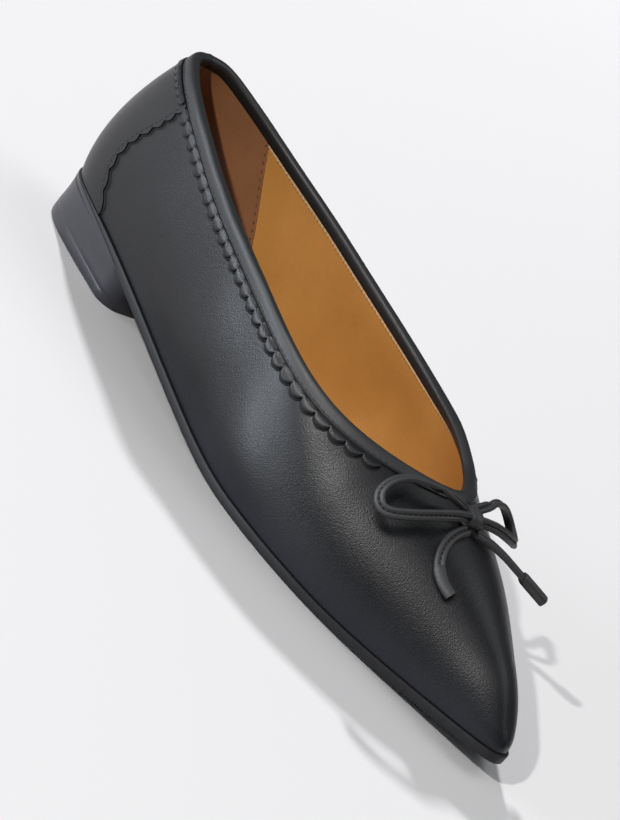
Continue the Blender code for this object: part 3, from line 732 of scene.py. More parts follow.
def cord(path: Array, up: Array, wide: float, high: float) -> Shell:
    """A fine flat line laid along a path.

    Args:
        path: Points of its middle.
        up: The way up at each of them.
        wide: Its width.
        high: Its height.

    Returns:
        The closed line.
    """
    run = unit(np.gradient(path, axis=0))
    beside = unit(np.cross(up, run))
    turn = np.linspace(0.0, 2 * math.pi, 6, endpoint=False)
    across = beside[:, None] * np.cos(turn)[:, None] * wide / 2
    upwards = up[:, None] * np.sin(turn)[:, None] * high / 2
    return sweep(path[:, None] + (across + upwards), ring=False)


def wall_on(last: Last, spots: Spots, outer: Array | float, inner: Array | float) -> Shell:
    """A closed wall between two offsets from the last's surface.

    Args:
        last: The last.
        spots: Places on it, column by row.
        outer: Offsets of the outer skin.
        inner: Offsets of the inner skin.

    Returns:
        The wall, with its rim.
    """
    base, normal = last.point(spots), last.normal(spots)
    skins = [base + normal * np.asarray(lift, float)[..., None] for lift in (outer, inner)]
    return thicken(*skins, grid_faces(*spots.k.shape))


def line_on(last: Last, spots: Spots, lift: float, wide: float, high: float = 0.0003) -> Shell:
    """A dark line laid along the last's surface: painted shadow at the foot of a cut edge.

    Args:
        last: The last.
        spots: Places on it, along the line.
        lift: How far off the surface its middle lies.
        wide: Its width.
        high: Its height.

    Returns:
        The closed line.
    """
    normal = last.normal(spots)
    return cord(last.point(spots) + normal * lift, normal, wide, high)


class Slot(Enum):
    """The record's material slots."""

    LEATHER = "black_leather"
    LACE = "lace_leather"
    SOLE = "sole_leather"
    HEEL = "heel_stack"
    TAN = "tan_leather"


class Wire:
    """A node's socket that adds a Math node for each operator."""

    def __init__(self, graph: Graph, socket: bpy.types.NodeSocket) -> None:
        """Hold a socket of a node tree."""
        self.graph = graph
        self.socket = socket

    def _math(self, operation: str, *values: Wire | float) -> Wire:
        """A Math node on numbers or sockets."""
        settings = {"operation": operation}
        return self.graph.node("ShaderNodeMath", settings, dict(enumerate(values)), 0)

    def __add__(self, other: Wire | float) -> Wire:
        """Sum."""
        return self._math("ADD", self, other)

    __radd__ = __add__

    def __sub__(self, other: Wire | float) -> Wire:
        """Difference."""
        return self._math("SUBTRACT", self, other)

    def __rsub__(self, other: float) -> Wire:
        """Difference from a number."""
        return self._math("SUBTRACT", other, self)

    def __mul__(self, other: Wire | float) -> Wire:
        """Product."""
        return self._math("MULTIPLY", self, other)

    __rmul__ = __mul__

    def clamp(self) -> Wire:
        """The value held between 0 and 1."""
        return self._math("MINIMUM", self._math("MAXIMUM", self, 0.0), 1.0)

    def fold(self, top: float) -> Wire:
        """The value folded to and fro between 0 and a top."""
        return self._math("PINGPONG", self, top)


class Graph:
    """A node tree that is filled through one method."""

    def __init__(self, tree: bpy.types.NodeTree) -> None:
        """Hold a tree."""
        self.tree = tree

    def feed(self, socket: bpy.types.NodeSocket, value: object) -> None:
        """Set a socket to a value, or link it to a wire.

        Args:
            socket: The input.
            value: A wire, or what the socket holds.
        """
        if isinstance(value, Wire):
            self.tree.links.new(value.socket, socket)
        else:
            socket.default_value = value

    def node(
        self,
        kind: str,
        settings: dict[str, object],
        values: dict[str | int, object],
        output: str | int,
    ) -> Wire:
        """Any node, set up and linked.

        Args:
            kind: Blender's name of the node's type.
            settings: Its properties, set first.
            values: Values or wires of its sockets, by name or place.
            output: The socket that is read.

        Returns:
            The wire of that socket.
        """
        made = self.tree.nodes.new(kind)
        for name, value in settings.items():
            setattr(made, name, value)
        for key, value in values.items():
            self.feed(made.inputs[key], value)
        return Wire(self, made.outputs[output])


class Paint(Graph):
    """A material's nodes."""

    def __init__(self, name: str) -> None:
        """Start a material with its Principled shader."""
        self.material = bpy.data.materials.new(name)
        self.material.use_nodes = True
        super().__init__(self.material.node_tree)
        self.shader = self.tree.nodes["Principled BSDF"]
        self.coordinates = self.node("ShaderNodeTexCoord", {}, {}, "Object")

    def level(self) -> Wire:
        """Height above the floor."""
        return self.node("ShaderNodeSeparateXYZ", {}, {"Vector": self.coordinates}, "Z")

    def noise(self, scale: float, detail: float, rough: float = 0.5) -> Wire:
        """Soft noise of a scale in turns for each metre."""
        values = {"Vector": self.coordinates, "Scale": scale, "Detail": detail, "Roughness": rough}
        return self.node("ShaderNodeTexNoise", {}, values, "Fac")

    def cells(self, scale: float) -> Wire:
        """Distance in a field of soft cells."""
        values = {"Vector": self.coordinates, "Scale": scale}
        return self.node("ShaderNodeTexVoronoi", {"feature": "SMOOTH_F1"}, values, "Distance")

    def mix(self, share: Wire, a: Wire | tuple, b: tuple) -> Wire:
        """A colour between two.

        Args:
            share: 0 for the first, 1 for the second.
            a: The first, a wire or a colour.
            b: The second.

        Returns:
            The wire of the colour.
        """
        values = {0: share, 6: a if isinstance(a, Wire) else (*a, 1.0), 7: (*b, 1.0)}
        return self.node("ShaderNodeMix", {"data_type": "RGBA"}, values, 2)

    def bump(self, height: Wire, strength: float, distance: float) -> None:
        """Bump the shader's normal by a height."""
        values = {"Height": height, "Strength": strength, "Distance": distance}
        self.set(Normal=self.node("ShaderNodeBump", {}, values, "Normal"))

    def set(self, **values: object) -> None:
        """Set the shader's sockets, with underscores for spaces."""
        for name, value in values.items():
            self.feed(self.shader.inputs[name.replace("_", " ")], value)


@dataclass(frozen=True)
class Leather:
    """Smooth leather with a fine soft grain, and perhaps a painted sheen low down."""

    name: str
    colour: Colour
    worn: Colour
    roughness: float = 0.42
    spread: float = 0.10
    grain: float = 1500.0
    depth: float = 0.00006
    coat: float = 0.0
    strength: float = 0.35
    gloss: float = 0.5
    # A paler, bluer colour mixed in low on the wall: painted sheen that stands in for a
    # reflection. It fades out above the given height, and noise frays its top edge.
    painted_sheen: Colour | None = None
    painted_sheen_height: float = 0.0
    painted_sheen_fray: float = 0.5
    coat_roughness: float = 0.28
    cloud_scale: float = 28.0

    def material(self) -> bpy.types.Material:
        """The leather's material.

        Returns:
            A new material with grain in its bump, roughness and colour, and any painted sheen in
            its colour.
        """
        paint = Paint(self.name)
        cloud = paint.noise(self.cloud_scale, 3.0)
        fine = paint.noise(self.grain * 0.55, 3.0, 0.6)
        pebble = paint.cells(self.grain)
        patch = ((cloud - 0.35) * 2.2).clamp()
        colour = paint.mix(patch * 0.7 + fine * 0.3, self.colour, self.worn)
        rough = self.roughness + (fine - 0.5) * self.spread + (cloud - 0.5) * self.spread
        # Painted sheen: low down, the colour turns paler and bluer as a reflection would make it.
        # The roughness rises there too.
        if self.painted_sheen is not None:
            fall = paint.level() * (-1.0 / self.painted_sheen_height)
            low = (fall + (1 - self.painted_sheen_fray / 2) + cloud * self.painted_sheen_fray).clamp()
            colour = paint.mix(low, colour, self.painted_sheen)
            rough = rough + low * 0.10
        paint.set(
            Base_Color=colour,
            Roughness=rough.clamp(),
            Coat_Weight=self.coat,
            Coat_Roughness=self.coat_roughness,
            Specular_IOR_Level=self.gloss,
        )
        paint.bump(pebble * 0.7 + fine * 0.5, self.strength, self.depth)
        return paint.material


@dataclass(frozen=True)
class Suede:
    """Napped lining leather, darker where the nap lies down."""

    name: str
    colour: Colour
    brushed: Colour

    def material(self) -> bpy.types.Material:
        """The nap's material.

        Returns:
            A new matt material with soft patches.
        """
        paint = Paint(self.name)
        nap = paint.noise(900.0, 4.0, 0.7)
        patch = paint.noise(60.0, 3.0)
        lie = (patch * 0.8 + nap * 0.5 - 0.2).clamp()
        paint.set(
            Base_Color=paint.mix(lie, self.colour, self.brushed),
            Roughness=(0.78 + (nap - 0.5) * 0.2).clamp(),
            Sheen_Weight=0.25,
            Sheen_Roughness=0.5,
        )
        paint.bump(nap, 0.5, 0.0001)
        return paint.material


@dataclass(frozen=True)
class Edge:
    """A pressed and inked leather edge, faintly layered."""

    name: str
    colour: Colour
    rubbed: Colour
    layer: float = 0.0030
    roughness: float = 0.48
    gloss: float = 0.45

    def material(self) -> bpy.types.Material:
        """The edge's material.

        Returns:
            A new material with fine layers lying in it.
        """
        paint = Paint(self.name)
        fibre = paint.noise(420.0, 4.0, 0.65)
        lines = (paint.level() * (1.0 / self.layer)).fold(0.5)
        paint.set(
            Base_Color=paint.mix((fibre * 1.2 - 0.2).clamp(), self.colour, self.rubbed),
            Roughness=(self.roughness + (fibre - 0.5) * 0.22).clamp(),
            Specular_IOR_Level=self.gloss,
        )
        paint.bump(fibre * 0.6 + lines * 0.3, 0.4, 0.00008)
        return paint.material


@dataclass(frozen=True)
class Thread:
    """Waxed sewing thread."""

    name: str
    colour: Colour
    roughness: float = 0.6

    def material(self) -> bpy.types.Material:
        """The thread's material.

        Returns:
            A new material with a fine twist.
        """
        paint = Paint(self.name)
        twist = paint.noise(3000.0, 1.0)
        dark = tuple(c * 0.6 for c in self.colour)
        paint.set(Base_Color=paint.mix(twist, dark, self.colour), Roughness=self.roughness)
        paint.bump(twist, 0.4, 0.00005)
        return paint.material


Look = Leather | Suede | Edge | Thread

# The black calf carries painted sheen: a paler, bluer band on the lower part of the wall, up to
# about 17 mm above the floor, painted into the colour as a reflection.
BLACK = Leather(
    "black calf", (0.0042, 0.0044, 0.0055), (0.0080, 0.0083, 0.0100),
    roughness=0.35, spread=0.15, grain=2700.0, depth=0.00011, strength=0.70, gloss=0.33,
    painted_sheen=(0.015, 0.0170, 0.0235), painted_sheen_height=0.017,
)
BINDING_BLACK = Leather(
    "black binding", (0.0070, 0.0072, 0.0082), (0.013, 0.0135, 0.0155),
    roughness=0.50, spread=0.10, grain=1700.0, gloss=0.6,
)
LACE_BLACK = Leather(
    "black lace", (0.014, 0.0142, 0.0152), (0.027, 0.0275, 0.0295),
    roughness=0.54, spread=0.12, grain=1900.0, depth=0.00012, gloss=0.7,
)
TAN = Leather(
    "tan lining", (0.44, 0.195, 0.043), (0.66, 0.32, 0.086),
    roughness=0.38, spread=0.20, grain=1300.0, coat=0.30,
)
FOOTBED_TAN = Leather(
    "tan footbed", (0.49, 0.240, 0.080), (0.63, 0.335, 0.128),
    roughness=0.42, spread=0.12, grain=1300.0, coat=0.12,
)
HEEL_NAP = Suede("brown heel lining", (0.18, 0.068, 0.020), (0.30, 0.130, 0.050))
RAW_EDGE = Suede("raw lining edge", (0.62, 0.38, 0.18), (0.80, 0.55, 0.32))
SOLE_EDGE = Edge(
    "black sole edge", (0.007, 0.007, 0.008), (0.016, 0.016, 0.018), roughness=0.55, gloss=0.38
)
HEEL_EDGE = Edge(
    "black stacked heel", (0.021, 0.0215, 0.027), (0.036, 0.037, 0.046),
    layer=0.0034, roughness=0.36,
)
# Near-black: the dark lines of painted shadow at the foot of the counter's and the trims' cut
# edges, and the lace's stitches.
SHADOW_LINE_AND_STITCH_BLACK = Thread("black painted shadow and stitches", (0.004, 0.004, 0.0045), 0.8)
BLACK_THREAD = Thread("black thread", (0.016, 0.016, 0.018))
TAN_THREAD = Thread("tan thread", (0.60, 0.38, 0.17))
BROWN_THREAD = Thread("brown thread", (0.13, 0.055, 0.022))


class Workshop:
    """Makes pieces into finished objects that ride on the shoe."""

    MERGE = 2e-6
    SHARP = math.radians(42)

    def __init__(self) -> None:
        """Start with no materials."""
        self.materials: dict[str, bpy.types.Material] = {}

    def finish(self, look: Look) -> bpy.types.Material:
        """The one material of a finish.

        Args:
            look: The finish.

        Returns:
            Its material, made the first time that it is asked for.
        """
        if look.name not in self.materials:
            self.materials[look.name] = look.material()
        return self.materials[look.name]

    def mesh(self, name: str, shell: Shell, look: Look) -> bpy.types.Object:
        """An object from points and faces, smooth apart from its sharp edges.

        Args:
            name: Its name.
            shell: Its points and faces.
            look: Its finish.

        Returns:
            The object, in place.
        """
        data = bpy.data.meshes.new(name)
        data.from_pydata(shell.points.tolist(), [], shell.faces)
        work = bmesh.new()
        work.from_mesh(data)
        bmesh.ops.remove_doubles(work, verts=work.verts, dist=self.MERGE)
        bmesh.ops.recalc_face_normals(work, faces=work.faces)
        work.to_mesh(data)
        work.free()
        data.materials.append(self.finish(look))
        piece = bpy.data.objects.new(name, data)
        bpy.context.scene.collection.objects.link(piece)
        data.shade_smooth()
        data.set_sharp_from_angle(angle=self.SHARP)
        return piece

    def hand_over(self, piece: bpy.types.Object, slot: Slot, *nodes: str) -> None:
        """Tie a piece to the shoe, and hide the CAD nodes that it stands for.

        Args:
            piece: The finished piece.
            slot: Not used.
            nodes: CAD nodes that it replaces.
        """
        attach(piece, "root")
        if nodes:
            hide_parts(*nodes)
        log.info("%s: %d faces", piece.name, len(piece.data.polygons))


    def make(
        self, name: str, shell: Shell, look: Look, slot: Slot, *nodes: str
    ) -> bpy.types.Object:
        """A finished piece, tied to the shoe.

        Args:
            name: Its name.
            shell: Its points and faces.
            look: Its finish.
            slot: Its material slot in the record.
            nodes: CAD nodes that it replaces.

        Returns:
            The object, in place.
        """
        piece = self.mesh(name, shell, look)
        self.hand_over(piece, slot, *nodes)
        return piece


class Stitch(NamedTuple):
    """Sizes of a row of stitches or holes: their spacing, and those of each."""

    pitch: float = 0.002
    length: float = 0.0014
    width: float = 0.0004
    height: float = 0.0003


Path = tuple[Array, Array]


class Stitcher:
    """Geometry Nodes that lay stitches or holes along a path."""

    SEED = 7
    SMALLEST = 0.88

    def __init__(self, workshop: Workshop) -> None:
        """Build the tree once."""
        self.workshop = workshop
        self.tree = self._tree()
        items = self.tree.interface.items_tree
        self.keys = {item.name: item.identifier for item in items if item.in_out == "INPUT"}

    def _inputs(self, tree: bpy.types.NodeTree) -> None:
        """Name the tree's sockets.

        Args:
            tree: The node group.
        """
        face = tree.interface
        face.new_socket("Geometry", in_out="INPUT", socket_type="NodeSocketGeometry")
        for name, value in Stitch()._asdict().items():
            socket = face.new_socket(name.title(), in_out="INPUT", socket_type="NodeSocketFloat")
            socket.default_value = value
        seed = face.new_socket("Seed", in_out="INPUT", socket_type="NodeSocketInt")
        seed.default_value = self.SEED
        face.new_socket("Material", in_out="INPUT", socket_type="NodeSocketMaterial")
        face.new_socket("Geometry", in_out="OUTPUT", socket_type="NodeSocketGeometry")

    def _tree(self) -> bpy.types.NodeTree:
        """The tree: path to curve, resampled, with a bead on each point.

        Returns:
            The node group.
        """
        graph = Graph(bpy.data.node_groups.new("stitch row", "GeometryNodeTree"))
        self._inputs(graph.tree)
        group = graph.tree.nodes.new("NodeGroupInput")
        given = {socket.name: Wire(graph, socket) for socket in group.outputs if socket.name}
        curve = graph.node("GeometryNodeMeshToCurve", {}, {"Mesh": given["Geometry"]}, "Curve")
        cut = {"Curve": curve, "Length": given["Pitch"]}
        curve = graph.node("GeometryNodeResampleCurve", {"mode": "LENGTH"}, cut, "Curve")
        run = {"Vector": graph.node("GeometryNodeInputTangent", {}, {}, "Tangent")}
        turn = graph.node("FunctionNodeAlignRotationToVector", {"axis": "X"}, run, "Rotation")
        kind = {"data_type": "FLOAT_VECTOR"}
        up = graph.node("GeometryNodeInputNamedAttribute", kind, {"Name": "up"}, "Attribute")
        axes = {"axis": "Z", "pivot_axis": "X"}
        ways = {"Rotation": turn, "Vector": up}
        turn = graph.node("FunctionNodeAlignRotationToVector", axes, ways, "Rotation")
        sides = {"X": given["Length"], "Y": given["Width"], "Z": given["Height"]}
        size = graph.node("ShaderNodeCombineXYZ", {}, sides, "Vector")
        spread = {"Min": self.SMALLEST, "Max": 1.0, "Seed": given["Seed"]}
        jitter = graph.node("FunctionNodeRandomValue", {"data_type": "FLOAT"}, spread, "Value")
        grown = {0: size, "Scale": jitter}
        size = graph.node("ShaderNodeVectorMath", {"operation": "SCALE"}, grown, "Vector")
        ball = {"Segments": 8, "Rings": 6, "Radius": 0.5}
        bead = graph.node("GeometryNodeMeshUVSphere", {}, ball, "Mesh")
        laid = {"Points": curve, "Instance": bead, "Rotation": turn, "Scale": size}
        beads = graph.node("GeometryNodeInstanceOnPoints", {}, laid, "Instances")
        beads = graph.node("GeometryNodeRealizeInstances", {}, {"Geometry": beads}, "Geometry")
        dress = {"Geometry": beads, "Material": given["Material"]}
        beads = graph.node("GeometryNodeSetMaterial", {}, dress, "Geometry")
        graph.feed(graph.tree.nodes.new("NodeGroupOutput").inputs["Geometry"], beads)
        return graph.tree

    def row(
        self, name: str, paths: Sequence[Path], look: Look, slot: Slot, stitch: Stitch
    ) -> None:
        """Stitches along paths, as one plain mesh, tied to the shoe.

        Args:
            name: The piece's name.
            paths: Points and upward directions of each path.
            look: The thread's finish.
            slot: Its material slot in the record.
            stitch: The sizes.
        """
        points, ups = (np.concatenate(part) for part in zip(*paths))
        edges, start = [], 0
        for path, _ in paths:
            edges += [(start + i, start + i + 1) for i in range(len(path) - 1)]
            start += len(path)
        data = bpy.data.meshes.new(name + "_path")
        data.from_pydata(points.tolist(), edges, [])
        data.attributes.new("up", "FLOAT_VECTOR", "POINT").data.foreach_set("vector", ups.ravel())
        guide = bpy.data.objects.new(name + "_path", data)
        bpy.context.scene.collection.objects.link(guide)
        modifier = guide.modifiers.new("stitches", "NODES")
        modifier.node_group = self.tree
        for key, value in stitch._asdict().items():
            modifier[self.keys[key.title()]] = value
        modifier[self.keys["Material"]] = self.workshop.finish(look)
        graph = bpy.context.evaluated_depsgraph_get()
        made = bpy.data.meshes.new_from_object(guide.evaluated_get(graph))
        bpy.data.objects.remove(guide, do_unlink=True)
        made.name = name
        made.shade_smooth()
        piece = bpy.data.objects.new(name, made)
        bpy.context.scene.collection.objects.link(piece)
        self.workshop.hand_over(piece, slot)


@dataclass
class Upper:
    """The lasted leather upper and its lining, open at the collar and below."""

    last: Last
    collar: Collar
    leather: float = 0.0010
    lining: float = 0.0007
    rim: float = 0.0005
    lining_gap: float = 0.00003
    fold_depth: float = 0.00085
    inner_fold_depth: float = 0.00060
    flex_depth: float = 0.00008
    crowding: float = 0.15
    collar_columns: int = 150
    vamp_columns: int = 64
    rows: int = 44

    def columns(self, rim: float) -> Spots:
        """The ring of ribs from the heel round the toe and back, as spots.

        Args:
            rim: How far below the collar the ribs end.

        Returns:
            Spots, column by row.
        """
        parts = []
        for side in (-1, 1):
            share = np.linspace(0.0, 1.0, self.collar_columns + 1)
            soft = self.crowding
            spread = (np.hypot(1 - share, soft) - soft) / (math.hypot(1, soft) - soft)
            k = self.collar.throat_k + (1 - self.collar.throat_k) * spread
            s = self.collar.loop_at(side, self.collar.arc_at(side, k))
            s[-1] = self.collar.outer_length
            top = self.collar.below(s, rim)
            foot = 1 - (1 - self.collar.throat_k) * share
            left = np.linspace(1.0, 0.0, self.vamp_columns + 1)[1:]
            top_k = np.concatenate([top.k, top.k[-1] * left])
            top_v = np.concatenate([top.v, np.ones(self.vamp_columns)])
            foot_k = np.concatenate([foot, self.collar.throat_k * left])
            row = np.linspace(0.0, 1.0, self.rows + 1)
            k = foot_k[:, None] + (top_k - foot_k)[:, None] * row
            parts.append(Spots.of(float(side), k, top_v[:, None] * row))
        return Spots.joined(*parts)

    def creases(self, spots: Spots) -> Array:
        """Soft waves that the leather keeps, as offsets.

        Args:
            spots: Where on the last.

        Returns:
            Offsets along the normals.
        """
        x = share_at(spots.k)
        outer = ease(0.2, -0.2, spots.side)
        waist = hill(0.40, 0.045, x) - 0.7 * hill(0.49, 0.04, x) + 0.6 * hill(0.57, 0.05, x)
        span = ease(0.13, 0.22, x) * (1 - ease(0.56, 0.68, x))
        belly = 0.55 * hill(0.085, 0.065, spots.v) - 0.75 * hill(0.27, 0.09, spots.v)
        waves = (0.7 * waist * hill(0.13, 0.11, spots.v) + span * belly) * outer
        pair = hill(0.46, 0.03, x) - hill(0.53, 0.03, x)
        inner = pair * hill(0.25, 0.14, spots.v) * (1 - outer)
        flex = np.sin(x * 90.0 + spots.v * 9.0) * hill(0.66, 0.06, x) * hill(0.55, 0.25, spots.v)
        held = ease(0.0, 0.06, spots.v)
        depth = waves * self.fold_depth + inner * self.inner_fold_depth + flex * self.flex_depth
        return depth * held

    def wall(self, start: float, thick: float, rim: float) -> Shell:
        """A closed skin that lies under the last's surface.

        Args:
            start: Depth of its outer side.
            thick: Its thickness.
            rim: How far below the collar it ends.

        Returns:
            The wall.
        """
        spots = self.columns(rim)
        crease = self.creases(spots)
        return wall_on(self.last, spots, crease - start, crease - start - thick)

    def build(self, shop: Workshop) -> None:
        """Make the upper and its lining.

        Args:
            shop: Makes the pieces.
        """
        shell = self.wall(0.0, self.leather, self.rim)
        shop.make("upper_leather", shell, BLACK, Slot.LEATHER, "upper")
        shell = self.wall(self.leather + self.lining_gap, self.lining, self.rim * 2)
        shop.make("upper_lining", shell, TAN, Slot.TAN)


@dataclass
class HeelPatch:
    """An overlay that wraps the heel, up to the binding, with its own front edge."""

    last: Last
    collar: Collar
    edge: tuple[EdgeRow, ...]
    top: float
    offset: float
    thick: float
    stitch: Stitch
    seam_inset: float
    seam_lift: float
    scallops: int = 0
    scallop: float = 0.0015
    # Where the painted shadow line at the front edge lies: how far outside it, how far off the
    # surface, and how wide.
    rim_out: float = 0.0002
    rim_lift: float = 0.00012
    rim_width: float = 0.0008
    reach: float = 0.075
    columns: int = 46
    steps: int = 12

    def __post_init__(self) -> None:
        """Find the line below the binding that it reaches, on both sides."""
        self.front = Spline([row.height for row in self.edge], [row.along for row in self.edge])
        self.tops: dict[int, tuple[Array, Array]] = {}
        for side, _ in SIDES:
            s = self.collar.loop_at(side, np.linspace(0.0, self.reach, 120))
            spots = self.collar.below(s, self.top)
            order = np.argsort(spots.k)
            self.tops[side] = (spots.k[order], spots.v[order])

    def spots(self, side: int, height: Array, inset: float = 0.0, wave: bool = True) -> Spots:
        """Spots of the front edge, moved back by an inset.

        Args:
            side: -1 outer or 1 inner.
            height: Shares of the way up.
            inset: How far behind the edge.
            wave: Whether the scallops are followed.

        Returns:
            The spots.
        """
        k = station_at(self.front(height))
        spots = Spots.of(float(side), k, height * np.interp(k, *self.tops[side]))
        reach = np.linalg.norm(self.last.moves(spots)[0], axis=-1)
        out = np.abs(np.sin(math.pi * self.scallops * height)) * self.scallop if wave else 0.0
        k = k - (out - inset) / reach
        return Spots.of(float(side), k, height * np.interp(k, *self.tops[side]))

    def shell(self) -> Shell:
        """The overlay's closed wall.

        Returns:
            The wall, from one front edge round the heel to the other.
        """
        height = np.linspace(0.0, 1.0, max(40, self.scallops * self.steps) + 1)
        parts = []
        for side, _ in SIDES:
            front = self.spots(side, height, wave=self.scallops > 0)
            share = np.linspace(0.0, 1.0, self.columns + 1)[:, None] ** 1.3
            k = front.k + (1 - front.k) * share
            parts.append(Spots.of(float(side), k, height * np.interp(k, *self.tops[side])))
        return wall_on(self.last, Spots.joined(*parts), self.offset + self.thick, self.offset)

    def painted_edge_shadow(self, side: int) -> Shell:
        """A dark line just outside the front edge that follows its scallops: painted shadow at the
        edge's foot.

        Args:
            side: -1 outer or 1 inner.

        Returns:
            The closed line.
        """
        height = np.linspace(0.01, 0.99, max(60, self.scallops * self.steps))
        spots = self.spots(side, height, inset=-self.rim_out)
        return line_on(self.last, spots, self.rim_lift, self.rim_width)

    def seam(self, side: int) -> Path:
        """A stitch line behind the front edge.

        Args:
            side: -1 outer or 1 inner.

        Returns:
            Its points and upward directions.
        """
        height = np.linspace(0.03, 0.96, 60)
        spots = self.spots(side, height, self.seam_inset, wave=False)
        normal = self.last.normal(spots)
        points = self.last.point(spots) + normal * self.seam_lift
        return points, normal * np.sign(self.seam_lift)


@dataclass
class Counter(HeelPatch):
    """The leather counter outside the heel, with a scalloped front edge."""

    edge: tuple[EdgeRow, ...] = COUNTER_EDGE
    top: float = 0.0043
    offset: float = 0.00004
    thick: float = 0.00072
    stitch: Stitch = Stitch(0.0020, 0.0015, 0.0004, 0.0003)
    seam_inset: float = 0.0011
    seam_lift: float = 0.00078
    scallops: int = 9

    def build(self, shop: Workshop, stitcher: Stitcher) -> None:
        """Make the counter, the painted shadow lines along its front edges, and its stitches.

        Args:
            shop: Makes the pieces.
            stitcher: Lays the stitches.
        """
        shop.make("counter_overlay", self.shell(), BLACK, Slot.LEATHER, "heel_counter")
        # A dark line of painted shadow along the foot of each front edge.
        for side, word in SIDES:
            shop.make(f"counter_cut_edge_{word}", self.painted_edge_shadow(side), SHADOW_LINE_AND_STITCH_BLACK, Slot.LEATHER)
        paths = [self.seam(side) for side, _ in SIDES]
        stitcher.row("counter_stitches", paths, BLACK_THREAD, Slot.LACE, self.stitch)


@dataclass
class HeelLining(HeelPatch):
    """The brown napped lining inside the heel."""

    edge: tuple[EdgeRow, ...] = LINING_EDGE
    top: float = 0.0030
    offset: float = -0.00215
    thick: float = 0.00038
    stitch: Stitch = Stitch(0.0026, 0.0013, 0.0006, 0.0003)
    seam_inset: float = 0.0012
    seam_lift: float = -0.00216

    def build(self, shop: Workshop, stitcher: Stitcher) -> None:
        """Make the lining and its stitches.

        Args:
            shop: Makes the pieces.
            stitcher: Lays the stitches.
        """
        shop.make("heel_lining", self.shell(), HEEL_NAP, Slot.TAN)
        paths = [self.seam(side) for side, _ in SIDES]
        stitcher.row("heel_lining_stitches", paths, BROWN_THREAD, Slot.TAN, self.stitch)


class StripSection(NamedTuple):
    """A trim strip's section, from the binding to its free edge."""

    across: tuple[float, ...]
    lift: tuple[float, ...]
    back: float
    # How far off the surface the dark line of painted shadow along the free edge lies.
    rim: float


STRIP = StripSection(
    (0.0, 0.3, 0.55, 0.75, 0.9, 1.0), (0.60, 0.92, 1.00, 0.98, 0.88, 0.55), 0.00005, 0.00012
)
TABS = StripSection((0.0, 0.4, 0.7, 0.9, 1.0), (1.10, 1.30, 1.32, 1.25, 1.00), 0.00060, 0.00080)
LIP = ((-1.74, 3.2), (-2.00, 3.25), (-2.02, 4.05), (-1.95, 4.20), (-1.74, 4.20))


